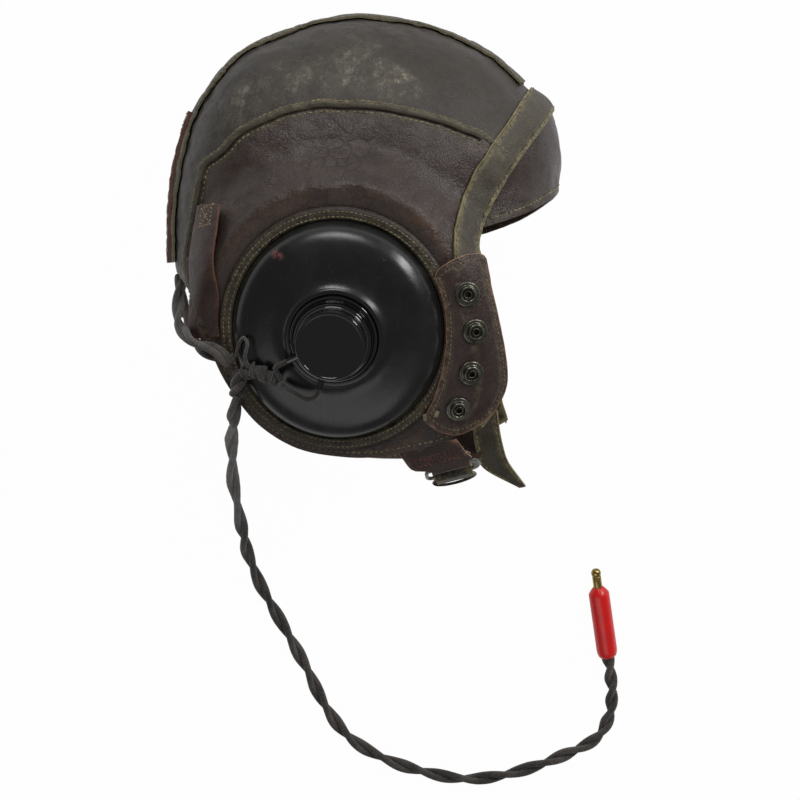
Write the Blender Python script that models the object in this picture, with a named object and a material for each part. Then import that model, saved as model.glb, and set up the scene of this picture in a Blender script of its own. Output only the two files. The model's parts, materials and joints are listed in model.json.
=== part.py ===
"""A soft leather flying helmet with rubber ear domes, receivers, a two-strand lead and a plug.

The helmet is drawn upright in its own frame: +X forward, +Y to the crown and +Z to the wearer's
right, with the origin in the middle of the head. It lies on its left side, so the drawing hangs on
an empty that leans it until the left receiver and the left of the crown touch the table.
"""

import functools
import math

import bmesh
import bpy
import numpy as np
from mathutils import Matrix, Vector
from mathutils.geometry import delaunay_2d_cdt

# Head form. A reach is measured from the middle of the head, as a share of the crown's reach.
CROWN_REACH = 0.120
HEAD_HALF_WIDTH = 0.082
SIDE_FULLNESS_share = 0.20
HEAD_OUTLINE_shares = (
    (-90.0, 1.605), (-77.0, 1.625), (-48.0, 1.485), (-18.0, 1.155), (6.3, 1.060),
    (16.0, 1.112), (28.3, 1.140), (35.0, 1.090), (52.0, 1.050), (63.0, 1.015),
    (75.0, 0.984), (87.0, 0.977), (97.5, 0.963), (109.0, 0.940), (122.6, 0.943),
    (144.0, 0.898), (155.0, 0.862), (167.0, 0.846), (178.0, 0.842), (192.0, 0.866),
    (210.0, 0.945), (225.0, 1.193), (243.0, 1.440),
)

# Leather and the clearances between its layers
LEATHER = 0.0014
LAYER_GAP = 0.0010
CLEARANCE = 0.0003
LINING_THICKNESS = 0.0010
LINING_GAP = 0.0040
LINING_INSET = 0.0020
LINING_HEM = 0.0120
HEM_GAP = 0.0013
LINING_STEP = 0.0130
LINING_EDGE_POINTS = 64
MESH_STEP = 0.0135
BROW_STEP = 0.0085
SIDE_STEP = 0.0100

# Seam lines and edges in the side view, as shares of the crown's reach
SEAM_shares = (
    (-0.725, -0.440), (-0.760, -0.293), (-0.752, -0.136), (-0.722, 0.043), (-0.698, 0.165),
    (-0.672, 0.235), (-0.591, 0.290), (-0.498, 0.385), (-0.360, 0.452), (-0.159, 0.510),
    (0.002, 0.510), (0.148, 0.504), (0.333, 0.470), (0.524, 0.418), (0.700, 0.330),
    (0.769, 0.275),
)
BAND_shares = (
    (0.615, -1.015), (0.668, -0.930), (0.690, -0.780), (0.668, -0.600), (0.622, -0.398),
    (0.587, -0.223), (0.592, -0.096), (0.641, 0.047), (0.769, 0.275), (0.932, 0.497),
)
BAND_LEFT_shares = ((0.668, -0.600), (0.692, -0.780), (0.714, -0.930), (0.740, -1.050))
BAND_LEFT_POINT = 3
BAND_SEAM_POINT = 8
BAND_BROW_POINT = 6
BAND_TOP_DEG = 30.4
FACE_EDGE_shares = (
    (0.592, -0.096), (0.642, -0.130), (0.648, -0.250), (0.690, -0.420), (0.730, -0.600),
    (0.752, -0.780), (0.744, -0.870), (0.700, -0.960), (0.640, -1.025), (0.600, -1.057),
)
JAW_shares = (
    (0.600, -1.057), (0.466, -1.136), (0.270, -1.185), (0.001, -1.205), (-0.225, -1.165),
    (-0.412, -1.055), (-0.530, -0.918), (-0.606, -0.795), (-0.668, -0.655), (-0.725, -0.440),
)
FACE_LEFT_shares = (
    (0.592, -0.096), (0.642, -0.130), (0.648, -0.250), (0.690, -0.420), (0.730, -0.600),
    (0.752, -0.780), (0.750, -0.890), (0.742, -1.000), (0.722, -1.085), (0.672, -1.142),
)
JAW_LEFT_shares = ((0.672, -1.142), (0.500, -1.172), (0.270, -1.192), (0.001, -1.205))
BROW_EDGE_shares = ((0.592, -0.096), (0.671, -0.084), (0.780, -0.050), (0.899, -0.001), (1.000, 0.060))
BROW_TIP_DEG = 6.6
NAPE_DEG = 196.5
CROWN_STRIP_HALF_WIDTH = 0.019
BAND_WIDTH = 0.0185
BAND_ROWS = 88
WELT_WIDTH = 0.0048
WELT_THICKNESS = 0.0013
WELT_POINTS = 120
WELT_ROWS = 33

# Ear cups: the seat is a flat oval on the side of the head, turned down and a little back
EAR_CENTRE_shares = (-0.028, -0.574)
EAR_SEAT_HEIGHT = 0.0765
EAR_DOWN_DEG = 14.0
EAR_BACK_DEG = 5.5
EAR_HOLE_RADIUS = 0.4170 * CROWN_REACH
DOME_HALF_WIDTH = 0.5160 * CROWN_REACH
DOME_HALF_HEIGHT = 0.5430 * CROWN_REACH
DOME_WALL = 0.0030
DOME_HEIGHT = 0.0270
FLANGE_REACH = 0.0052
FLANGE_THICKNESS = 0.0010
RING_REACH = 0.0082
RING_THICKNESS = 0.0018
EAR_BLEND_share = 0.48
SOCKET_LIP_RADIUS = 0.0280
RECEIVER_RADIUS = 0.0255
RECEIVER_STEP_RADIUS = 0.0225
RECEIVER_FACE_RADIUS = 0.0205
RECEIVER_BOTTOM = 0.0163
RECEIVER_HEIGHT = 0.0470
RECEIVER_WALL = 0.0025
DIAPHRAGM_THICKNESS = 0.0004
TIP_RADIUS = 0.0017
TIP_LENGTH = 0.0070
TIP_ANGLES_DEG = (206.0, 254.0)
TIP_HEIGHT = 0.0320
EAR_PAD_WIDTH = 0.0150
EAR_PAD_THICKNESS = 0.0090

# Snap patch and its four fasteners
PATCH_shares = (
    (0.411, -0.350), (0.450, -0.287), (0.510, -0.243), (0.577, -0.223), (0.651, -0.238),
    (0.684, -0.388), (0.726, -0.558), (0.765, -0.778), (0.757, -0.866), (0.702, -0.964),
    (0.628, -1.032), (0.510, -1.077), (0.395, -1.015), (0.440, -0.900), (0.478, -0.770),
    (0.490, -0.640), (0.478, -0.510), (0.445, -0.405),
)
SNAP_shares = ((0.584, -0.404), (0.620, -0.580), (0.603, -0.778), (0.544, -0.950))
SNAP_RADIUS = 0.0074
SNAP_HEIGHT = 0.0034
SNAP_BORE_RADIUS = 0.0022
PATCH_SLOPE = 0.0040
PATCH_CLEARANCE = 0.0015
PATCH_STEP = 0.0058

# Goggle-strap tabs
TAB_shares = ((-0.632, 0.017), (-0.652, -0.139), (-0.664, -0.310), (-0.666, -0.483), (-0.658, -0.610))
TAB_WIDTH = 0.0150
TAB_SEWN_LENGTH = 0.0150
REAR_TAB_TOP_DEG = 146.0
REAR_TAB_END_DEG = 195.5
SNAP_SEAT = 0.0004

# Chin strap, its tab and its buckle, and the left jaw's hanging band end
CHIN_TAB_WIDTH = 0.0350
CHIN_TAB_FOLD_WIDTH = 0.0235
CHIN_TAB_TOP_shares = (0.4017, -1.1433, 0.7110)
CHIN_TAB_KNEE_shares = (0.4567, -1.2183, 0.6768)
BUCKLE_BAR_shares = (0.5183, -1.2492, 0.6463)
BUCKLE_LENGTH = 0.0300
BUCKLE_DEPTH = 0.0170
BUCKLE_WIRE_RADIUS = 0.0011
BUCKLE_ALONG = (0.969, 0.247, 0.0)
BUCKLE_ACROSS = (0.040, -0.430, -0.900)
CHIN_STRAP_WIDTH = 0.0225
CHIN_STRAP_THICKNESS = 0.0016
STRAP_OFFSET = 0.0006
CHIN_STRAP_shares = (
    (0.5200, -1.1830, -0.6550), (0.5250, -1.2600, -0.5500), (0.5300, -1.3350, -0.2600),
    (0.5430, -1.3620, 0.0976), (0.5580, -1.3560, 0.3171),
)
STRAP_END_shares = ((0.5567, -1.3000, 0.3537), (0.5833, -1.3067, 0.1829))
BAND_END_shares = ((0.7350, -1.1250, -0.6850), (0.7650, -1.2400, -0.7050), (0.8950, -1.3670, -0.7300))
BAND_END_WIDTHS = (0.0185, 0.0185, 0.0185, 0.0180, 0.0040)
BAND_END_ACROSS = (0.95, 0.20, 0.24)
BAND_END_GAP = 0.0005
BAND_END_TURN_share = 0.6

# Lead. The leads on the right ear cup go through places forward, up and out from its centre
LEAD_RADIUS = 0.0040
BRANCH_RADIUS = 0.0031
TAIL_RADIUS = 0.0013
CORD_STEP_share = 2.5
JUNCTION_LENGTH = 0.0135
JUNCTION_RADIUS = 0.0063
BUNDLE_ROUTE = (
    (-0.0532, -0.0236, 0.0200), (-0.0477, -0.0208, 0.0232), (-0.0395, -0.0233, 0.0252),
    (-0.0330, -0.0260, 0.0262),
)
TAIL_ROUTES = (
    (
        (-0.0308, -0.0246, 0.0284), (-0.0322, -0.0210, 0.0306), (-0.0336, -0.0176, 0.0322),
        (-0.0318, -0.0155, 0.0322), (-0.0271, -0.0132, 0.0320),
    ),
    (
        (-0.0306, -0.0286, 0.0266), (-0.0225, -0.0325, 0.0273), (-0.0145, -0.0365, 0.0295),
        (-0.0100, -0.0348, 0.0318), (-0.0083, -0.0289, 0.0320),
    ),
)

# The branch to the left ear cup, as shares of the head
BRANCH_shares = (
    (-0.5593, -0.7458, 0.9573), (-0.6077, -0.6958, 0.9415), (-0.6543, -0.6683, 0.9415),
    (-0.7293, -0.6483, 0.9512), (-0.7830, -0.6017, 0.8244), (-0.8110, -0.5542, 0.6280),
    (-0.8270, -0.4833, 0.4024), (-0.8287, -0.3958, 0.2012), (-0.8245, -0.3100, 0.0000),
    (-0.8287, -0.3958, -0.2012), (-0.8222, -0.4833, -0.4024), (-0.7938, -0.5583, -0.6098),
    (-0.7782, -0.6208, -0.8293), (-0.7237, -0.6792, -0.9659), (-0.6235, -0.7208, -1.0061),
    (-0.5027, -0.7583, -1.0793), (-0.3860, -0.7917, -1.1646), (-0.2777, -0.8208, -1.2317),
)

# The main lead falls from the junction and turns on the table, in the table's frame
LEAD_ROUTE = (
    (-0.0631, -0.0727, 0.2026), (-0.0643, -0.0808, 0.2030), (-0.0659, -0.0915, 0.1960),
    (-0.0673, -0.1050, 0.1740), (-0.0695, -0.1394, 0.1240), (-0.0707, -0.1811, 0.0750),
    (-0.0689, -0.2207, 0.0330), (-0.0648, -0.2573, 0.0090), (-0.0557, -0.2853, 0.0042),
    (-0.0419, -0.3126, 0.0042), (-0.0274, -0.3423, 0.0042), (-0.0159, -0.3685, 0.0042),
    (-0.0006, -0.3907, 0.0042), (0.0214, -0.4058, 0.0042), (0.0480, -0.4158, 0.0042),
    (0.0752, -0.4209, 0.0042), (0.0998, -0.4180, 0.0042), (0.1224, -0.4108, 0.0042),
    (0.1430, -0.4015, 0.0042), (0.1584, -0.3921, 0.0043), (0.1666, -0.3777, 0.0046),
    (0.1688, -0.3600, 0.0056), (0.1674, -0.3440, 0.0064), (0.1657, -0.3325, 0.0066),
)

# Plug, from the sleeve's cord end to the tip
PLUG_PLACE = (0.1656, -0.3322)
PLUG_TURN_DEG = 98.2
PLUG_SLEEVE_LENGTH = 0.0490
PLUG_SLEEVE_RADIUS = 0.0066
PLUG_SHAFT_LENGTH = 0.0078
PLUG_SHAFT_RADIUS = 0.0028
PLUG_TIP_LENGTH = 0.0084
PLUG_TIP_RADIUS = 0.0032

# Stance on the table
LEAN_DEG = 22.0
TIP_DEG = 0.0
PRESS_SOFTNESS = 0.0020

ROUND_STEPS = 24
PAD_STEPS = 20
SNAP_STEPS = 12
COLOURS = {
    "crown": (0.060, 0.052, 0.044), "brown": (0.050, 0.027, 0.021), "olive": (0.070, 0.064, 0.040),
    "red_brown": (0.075, 0.028, 0.020), "chamois": (0.420, 0.310, 0.180),
    "rubber": (0.012, 0.012, 0.012), "bakelite": (0.006, 0.006, 0.006),
    "gunmetal": (0.090, 0.088, 0.082), "brass": (0.350, 0.250, 0.110), "red": (0.600, 0.012, 0.010),
    "cord": (0.020, 0.018, 0.018), "steel": (0.350, 0.350, 0.360),
}
FINISHES = {
    "rubber": (0.35, 0.0), "bakelite": (0.12, 0.0), "gunmetal": (0.35, 1.0), "brass": (0.30, 1.0),
    "red": (0.25, 0.0), "steel": (0.30, 1.0),
}
LEATHER_FINISH = (0.60, 0.0)

LEAD_NODES = (
    "main_lead", "lead_branch_left", "lead_bundle_right", "lead_tail_right_1", "lead_tail_right_2",
    "lead_junction", "plug_sleeve", "plug_shaft", "plug_tip",
)

RIGHT = 1
LEFT = -1
PANEL_LAYER = (0.0, LEATHER)
TRIM_LAYER = (LEATHER + LAYER_GAP, 2 * LEATHER + LAYER_GAP)
WELT_LAYER = (LEATHER + LAYER_GAP, LEATHER + LAYER_GAP + WELT_THICKNESS)
LINING_LAYER = (-LINING_GAP - LINING_THICKNESS, -LINING_GAP)
STACK = WELT_LAYER[1]
TOP_LAYER = (TRIM_LAYER[1] + LAYER_GAP, TRIM_LAYER[1] + LAYER_GAP + LEATHER)
TAB_LAYER = TOP_LAYER


def clear_scene():
    for obj in list(bpy.data.objects):
        bpy.data.objects.remove(obj, do_unlink=True)


def material(finish):
    name = finish + "_finish"
    made = bpy.data.materials.get(name)
    if made is None:
        made = bpy.data.materials.new(name)
        made.use_nodes = True
        shader = made.node_tree.nodes["Principled BSDF"]
        roughness, metallic = FINISHES.get(finish, LEATHER_FINISH)
        shader.inputs["Base Color"].default_value = (*COLOURS[finish], 1.0)
        shader.inputs["Roughness"].default_value = roughness
        shader.inputs["Metallic"].default_value = metallic
        made.diffuse_color = (*COLOURS[finish], 1.0)
    return made


def unit(vector):
    return Vector(vector).normalized()


# The head form


def outline_reach(degrees):
    """The side view's reach in a direction, read from a smooth closed curve through its points."""
    table = np.array(HEAD_OUTLINE_shares)
    degrees = (np.asarray(degrees, float) - table[0, 0]) % 360.0 + table[0, 0]
    angles = np.concatenate([table[-2:, 0] - 360.0, table[:, 0], table[:2, 0] + 360.0])
    reaches = np.concatenate([table[-2:, 1], table[:, 1], table[:2, 1]])
    i = np.clip(np.searchsorted(angles, degrees, side="right") - 1, 1, len(angles) - 3)
    span = angles[i + 1] - angles[i]
    t = (degrees - angles[i]) / span
    before = (reaches[i + 1] - reaches[i - 1]) / (angles[i + 1] - angles[i - 1]) * span
    after = (reaches[i + 2] - reaches[i]) / (angles[i + 2] - angles[i]) * span
    start = reaches[i] * (2 * t**3 - 3 * t**2 + 1) + before * (t**3 - 2 * t**2 + t)
    return start + reaches[i + 1] * (3 * t**2 - 2 * t**3) + after * (t**3 - t**2)


def smoothstep(t):
    t = np.clip(t, 0.0, 1.0)
    return t * t * (3 - 2 * t)


def ear_frame():
    """The right ear seat's centre and its forward, up and outward directions."""
    x, y = EAR_CENTRE_shares
    out = Vector((-math.sin(math.radians(EAR_BACK_DEG)), -math.sin(math.radians(EAR_DOWN_DEG)), 0.0))
    out.z = math.sqrt(1.0 - out.length_squared)
    forward = unit(Vector((1.0, 0.0, 0.0)) - out * out.x)
    centre = Vector((x * CROWN_REACH, y * CROWN_REACH, EAR_SEAT_HEIGHT))
    return centre, forward, out.cross(forward), out


def ear_distance(x, y):
    """1 on the ear ring's outer edge, growing outwards."""
    centre = ear_frame()[0]
    half_width = DOME_HALF_WIDTH + RING_REACH
    half_height = DOME_HALF_HEIGHT + RING_REACH
    return np.hypot((x - centre.x) / half_width, (y - centre.y) / half_height)


def form_point(flat):
    """Head form at flat map points: the distance from 0 is the angle from the wearer's right."""
    turn = np.hypot(flat[:, 0], flat[:, 1])
    degrees = np.degrees(np.arctan2(flat[:, 1], flat[:, 0]))
    reach = np.sin(turn) * outline_reach(degrees) * CROWN_REACH
    x = reach * np.cos(np.radians(degrees))
    y = reach * np.sin(np.radians(degrees))
    z = HEAD_HALF_WIDTH * np.abs(np.cos(turn)) * (1.0 + SIDE_FULLNESS_share * np.sin(turn) ** 2)
    centre, _, _, out = ear_frame()
    seat = centre.z - (out.x * (x - centre.x) + out.y * (y - centre.y)) / out.z
    near = 1.0 - smoothstep((ear_distance(x, y) - 1.02) / EAR_BLEND_share)
    z = (z + near * (seat - z)) * np.where(turn > math.pi / 2, -1.0, 1.0)
    return np.stack([x, y, z], axis=1)


def form_slopes(flat):
    step = 0.002
    east = form_point(flat + [step, 0.0]) - form_point(flat - [step, 0.0])
    north = form_point(flat + [0.0, step]) - form_point(flat - [0.0, step])
    return east / (2 * step), north / (2 * step)


def form_normal(flat):
    normal = np.cross(*form_slopes(flat))
    return normal / np.linalg.norm(normal, axis=1, keepdims=True)


def flat_point(x_share, y_share):
    """The flat map point of a side-view place on the right half."""
    degrees = math.degrees(math.atan2(y_share, x_share))
    turn = math.asin(min(math.hypot(x_share, y_share) / float(outline_reach(degrees)), 0.9999))
    return (turn * math.cos(math.radians(degrees)), turn * math.sin(math.radians(degrees)))


def flat_middle(degrees):
    """The flat map point on the head's middle line."""
    return (math.pi / 2 * math.cos(math.radians(degrees)), math.pi / 2 * math.sin(math.radians(degrees)))


def flat_left(point):
    """The mirror image of a flat map point across the head's middle line."""
    turn = math.hypot(*point)
    return (point[0] * (math.pi - turn) / turn, point[1] * (math.pi - turn) / turn)


def smooth(points, steps):
    """Points along a smooth open curve, which passes through each given point."""
    points = [np.array(point, float) for point in points]
    points = [2 * points[0] - points[1], *points, 2 * points[-1] - points[-2]]
    made = []
    for a, b, c, d in zip(points, points[1:], points[2:], points[3:]):
        for step in range(steps):
            t = step / steps
            made.append(b + ((c - a) * t + (2 * a - 5 * b + 4 * c - d) * t**2 + (3 * b - a - 3 * c + d) * t**3) / 2)
    made.append(points[-2])
    return made


def evenly(points, count):
    """The same line as a number of points that are equally far apart."""
    points = np.array(points)
    walked = np.concatenate([[0.0], np.cumsum(np.linalg.norm(np.diff(points, axis=0), axis=1))])
    places = np.linspace(0.0, walked[-1], count)
    return np.stack([np.interp(places, walked, points[:, k]) for k in range(points.shape[1])], axis=1)


# The stance


def stance_matrix():
    return (Matrix.Rotation(math.radians(TIP_DEG), 3, "Y") @ Matrix.Rotation(math.radians(-LEAN_DEG), 3, "X"))


@functools.cache
def stance_lift():
    """How far the head's middle is above the table when the left receiver's rim touches it."""
    up = stance_matrix().row[2]
    lowest = 0.0
    for radius, height in case_profile()[0]:
        for place in ear_ring_points(radius, height):
            lowest = min(lowest, up.dot(Vector((place.x, place.y, -place.z))))
    return -lowest


def pressed(points, offsets):
    """Leather that would sink into the table lies flat on it, in the order of its layers."""
    up = np.array(stance_matrix().row[2])
    height = points @ up + stance_lift()
    short = STACK - offsets - height
    lift = (short + np.sqrt(short**2 + PRESS_SOFTNESS**2)) / 2
    lift = np.where(short > -8 * PRESS_SOFTNESS, lift, 0.0)
    return points + lift[:, None] * up


def mirrored(points, side):
    return points * np.array([1.0, 1.0, side])


def on_form(flat, offsets, side=RIGHT):
    """Points above the head form by their offsets, on the right half or mirrored to the left."""
    flat = np.array(flat, float)
    offsets = np.broadcast_to(np.asarray(offsets, float), len(flat))
    points = form_point(flat) + form_normal(flat) * offsets[:, None]
    return pressed(mirrored(points, side), offsets)


# Solids


def add_object(name, points, faces, finish, pivot=(0.0, 0.0, 0.0)):
    """A closed mesh on the stance empty, with its origin at the pivot and its faces pointing out."""
    pivot = Vector(pivot)
    mesh = bpy.data.meshes.new(name)
    mesh.from_pydata([Vector(point) - pivot for point in points], [], faces)
    shape = bmesh.new()
    shape.from_mesh(mesh)
    bmesh.ops.recalc_face_normals(shape, faces=shape.faces)
    shape.to_mesh(mesh)
    shape.free()
    mesh.shade_smooth()
    mesh.set_sharp_from_angle(angle=math.radians(40))
    obj = bpy.data.objects.new(name, mesh)
    obj.data.materials.append(material(finish))
    bpy.context.scene.collection.objects.link(obj)
    obj.parent = bpy.data.objects["stance"]
    obj.location = pivot
    return obj


def inside(point, outline):
    """Whether a flat point lies within a closed outline."""
    x, y = point
    odd = False
    for (ax, ay), (bx, by) in zip(outline, outline[1:] + outline[:1]):
        if (ay > y) != (by > y) and x < (bx - ax) * (y - ay) / (by - ay) + ax:
            odd = not odd
    return odd


def inset(outline, distance):
    """The outline drawn in by a distance, whichever way round it runs."""
    area = sum(a[0] * b[1] - b[0] * a[1] for a, b in zip(outline, outline[1:] + outline[:1])) / 2
    turn = math.copysign(distance, area)
    made = []
    for before, here, after in zip(outline[-1:] + outline[:-1], outline, outline[1:] + outline[:1]):
        along = np.array(after) - np.array(before)
        along = along / np.linalg.norm(along)
        made.append((here[0] - along[1] * turn, here[1] + along[0] * turn))
    return made


def fill(outline, holes, step):
    """Triangles over a flat outline, with points of a staggered grid between its edges."""
    loops = [list(outline), *[list(hole) for hole in holes]]
    points = [tuple(point) for loop in loops for point in loop]
    edges = []
    first = 0
    for loop in loops:
        edges += [(first + k, first + (k + 1) % len(loop)) for k in range(len(loop))]
        first += len(loop)
    border = np.array(points)
    low = border.min(axis=0)
    high = border.max(axis=0)
    row = 0
    y = low[1] + step / 2
    while y < high[1]:
        x = low[0] + step / 2 * (1 + row % 2)
        while x < high[0]:
            clear = np.hypot(border[:, 0] - x, border[:, 1] - y).min() > 0.6 * step
            if clear and inside((x, y), loops[0]) and not any(inside((x, y), hole) for hole in loops[1:]):
                points.append((x, y))
            x += step
        y += step * math.sqrt(3) / 2
        row += 1
    filled = delaunay_2d_cdt([Vector(point) for point in points], edges, [], 0, 1e-7)
    places = [tuple(point) for point in filled[0]]
    faces = []
    for face in filled[2]:
        middle = tuple(np.mean([places[k] for k in face], axis=0))
        if inside(middle, loops[0]) and not any(inside(middle, hole) for hole in loops[1:]):
            faces.append(tuple(face))
    return places, faces


def two_skins(count, faces):
    """Faces of a closed solid between a lower skin and an upper one with the same triangles."""
    used = {}
    for face in faces:
        for a, b in zip(face, face[1:] + face[:1]):
            used[(a, b)] = used.get((a, b), 0) + 1
    rim = [(a, b) for (a, b) in used if (b, a) not in used]
    upper = [tuple(k + count for k in face) for face in faces]
    lower = [tuple(reversed(face)) for face in faces]
    walls = [(a, b, b + count, a + count) for a, b in rim]
    return upper + lower + walls


def skin(name, outline, layer, finish, side=RIGHT, holes=(), lift=None, step=MESH_STEP):
    """A panel of leather: a flat outline laid over the head form, between two offsets."""
    scale = 1.0 / HEAD_HALF_WIDTH
    outline = inset([tuple(point) for point in outline], CLEARANCE / 2 * scale)
    places, faces = fill(outline, holes, step * scale)
    flat = np.array(places)
    extra = np.zeros(len(flat)) if lift is None else lift(flat)
    lower = on_form(flat, layer[0] + extra, side)
    upper = on_form(flat, layer[1] + extra, side)
    return add_object(name, np.concatenate([lower, upper]), two_skins(len(flat), faces), finish)


def grid_faces(rows, columns):
    faces = []
    for i in range(rows - 1):
        for j in range(columns - 1):
            a = i * columns + j
            faces.append((a, a + columns, a + columns + 1, a + 1))
    return faces


def across_form(path, reaches):
    """Flat map points beside a path on the head form, at the given distances along the leather."""
    path = np.array(path)
    along = np.gradient(form_point(path), axis=0)
    normal = form_normal(path)
    sideways = np.cross(normal, along)
    sideways /= np.linalg.norm(sideways, axis=1, keepdims=True)
    east, north = form_slopes(path)
    made = []
    for k, point in enumerate(path):
        slopes = np.stack([east[k], north[k]], axis=1)
        turn = np.linalg.pinv(slopes) @ sideways[k]
        made += [point + turn * reach for reach in reaches[k]]
    return np.array(made)


def strap(name, path, width, layer, finish, side=RIGHT, columns=4, pivot=(0.0, 0.0, 0.0)):
    """A strip of leather that lies along a path on the head form."""
    rows = len(path)
    widths = np.broadcast_to(np.asarray(width, float), rows)
    reaches = [np.linspace(-w / 2, w / 2, columns) for w in widths]
    flat = across_form(path, reaches)
    lower = on_form(flat, layer[0], side)
    upper = on_form(flat, layer[1], side)
    faces = two_skins(len(flat), grid_faces(rows, columns))
    return add_object(name, np.concatenate([lower, upper]), faces, finish, pivot)


def closed_ring_faces(rings, count):
    """Faces around a row of rings that closes on itself, such as a turned ring."""
    faces = []
    for i in range(rings):
        for j in range(count):
            a = i * count + j
            b = i * count + (j + 1) % count
            c = (i + 1) % rings * count + (j + 1) % count
            d = (i + 1) % rings * count + j
            faces.append((a, b, c, d))
    return faces


def lofted_faces(rings, count):
    """Faces around an open row of rings whose two ends are flat."""
    faces = [tuple(range(count)), tuple(range((rings - 1) * count, rings * count))]
    for i in range(rings - 1):
        for j in range(count):
            a = i * count + j
            b = i * count + (j + 1) % count
            faces.append((a, b, b + count, a + count))
    return faces


def ear_ring_points(radius, height, steps=ROUND_STEPS):
    """A ring of points in the right ear's frame: round near the socket and oval at the rim."""
    centre, forward, up, out = ear_frame()
    share = (radius - SOCKET_LIP_RADIUS) / (DOME_HALF_WIDTH - SOCKET_LIP_RADIUS)
    taller = (DOME_HALF_HEIGHT - DOME_HALF_WIDTH) * min(max(share, 0.0), 1.0)
    made = []
    for k in range(steps):
        angle = 2 * math.pi * k / steps
        made.append(
            centre + forward * (radius * math.cos(angle)) + up * ((radius + taller) * math.sin(angle)) + out * height
        )
    return made


def turned(name, profile, finish, side, closed=True, steps=ROUND_STEPS):
    """A piece turned about the ear's axis from its (radius, height) profile."""
    points = [point for radius, height in profile for point in ear_ring_points(radius, height, steps)]
    faces = closed_ring_faces(len(profile), steps) if closed else lofted_faces(len(profile), steps)
    return add_object(name, mirrored(np.array(points), side), faces, finish)


def ear_place(place):
    centre, forward, up, out = ear_frame()
    return centre + forward * place[0] + up * place[1] + out * place[2]


def tube_ring(centre, along, radius, steps, start):
    """A ring of points square to a direction."""
    side = unit(start - along * start.dot(along))
    other = along.cross(side)
    made = []
    for k in range(steps):
        angle = 2 * math.pi * k / steps
        made.append(centre + side * (radius * math.cos(angle)) + other * (radius * math.sin(angle)))
    return made, side


def rod(centre_low, centre_high, profile, steps):
    """Points and faces of a turned rod: the profile holds (radius, share of the length)."""
    low = Vector(centre_low)
    span = Vector(centre_high) - low
    along = span.normalized()
    start = Vector((0.0, 0.0, 1.0)) if abs(along.z) < 0.9 else Vector((1.0, 0.0, 0.0))
    points = []
    for radius, share in profile:
        points += tube_ring(low + span * share, along, radius, steps, start)[0]
    return points, lofted_faces(len(profile), steps)


# Shell


def band_line():
    """The front band's middle line in the flat map, from the right jaw over the brow to the left."""
    right = [flat_point(*share) for share in BAND_shares]
    line = smooth([*right, flat_middle(BAND_TOP_DEG), flat_left(right[-1])], 4)[:-4]
    return [*line, *[flat_left(point) for point in reversed(line[:-1])]]


def band_path():
    """The band's own path: on the left it runs straight down to the jaw instead of turning back."""
    line = band_line()
    spare = 4 * BAND_LEFT_POINT
    left = smooth([flat_point(*share) for share in BAND_LEFT_shares], 4)
    return [*line[:-spare], *[flat_left(point) for point in left[4:]]]


def seam_line():
    return smooth([flat_point(*share) for share in SEAM_shares], 3)


def welt_path():
    """The welt ends at the front band's edge."""
    line = evenly(seam_line(), WELT_POINTS)
    length = np.linalg.norm(np.diff(form_point(line), axis=0), axis=1)
    left = np.cumsum(length[::-1])[::-1]
    return evenly(line[:-1][left > BAND_WIDTH / 2 + WELT_WIDTH], WELT_ROWS)


def middle_line(start_deg, end_deg, count):
    return [flat_middle(start_deg + (end_deg - start_deg) * k / count) for k in range(count + 1)]


def crown_outline():
    band = band_line()[BAND_SEAM_POINT * 4 : (len(BAND_shares)) * 4 + 1]
    return [*band[:-1], *middle_line(BAND_TOP_DEG, NAPE_DEG, 22), *seam_line()[:-1]]


def side_outline(side=RIGHT):
    """The side panel. The left one reaches further down in front, where the chin strap is sewn."""
    band = band_line()[BAND_BROW_POINT * 4 : BAND_SEAM_POINT * 4 + 1]
    right = side == RIGHT
    front = FACE_EDGE_shares if right else FACE_LEFT_shares
    low = JAW_shares if right else (*JAW_LEFT_shares, *JAW_shares[len(JAW_LEFT_shares) :])
    face = smooth([flat_point(*share) for share in front], 2)
    jaw = smooth([flat_point(*share) for share in low], 2)
    return [*seam_line()[:-1], *reversed(band), *face[1:], *jaw[1:-1]]


def ear_hole(radius):
    centre = ear_frame()[0]
    made = []
    for k in range(ROUND_STEPS):
        angle = 2 * math.pi * k / ROUND_STEPS
        x = centre.x + radius * math.cos(angle)
        y = centre.y + radius * math.sin(angle)
        made.append(flat_point(x / CROWN_REACH, y / CROWN_REACH))
    return made


def brow_outline():
    band = band_line()
    half = BAND_BROW_POINT * 4
    back = band[half : len(band) - half]
    low = smooth([flat_point(*share) for share in BROW_EDGE_shares] + [flat_middle(BROW_TIP_DEG)], 3)
    other = [flat_left(point) for point in low[1:-1]]
    return [*reversed(back[1:-1]), *low, *reversed(other), back[-1]]


def strip_path():
    return middle_line(BAND_TOP_DEG + 6.0, NAPE_DEG - 1.0, 26)


def make_shell():
    for side, word in ((RIGHT, "right"), (LEFT, "left")):
        skin("crown_panel_" + word, crown_outline(), PANEL_LAYER, "crown", side)
        hole = ear_hole(EAR_HOLE_RADIUS)
        skin("side_panel_" + word, side_outline(side), PANEL_LAYER, "brown", side, [hole], step=SIDE_STEP)
        strap("seam_welt_" + word, welt_path(), WELT_WIDTH, WELT_LAYER, "olive", side, columns=2)
    strap("crown_strip", strip_path(), 2 * CROWN_STRIP_HALF_WIDTH, TRIM_LAYER, "crown", columns=5)
    strap("front_band", evenly(band_path(), BAND_ROWS), BAND_WIDTH, TRIM_LAYER, "olive", columns=4)
    skin("brow_piece", brow_outline(), PANEL_LAYER, "brown", step=BROW_STEP)


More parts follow.
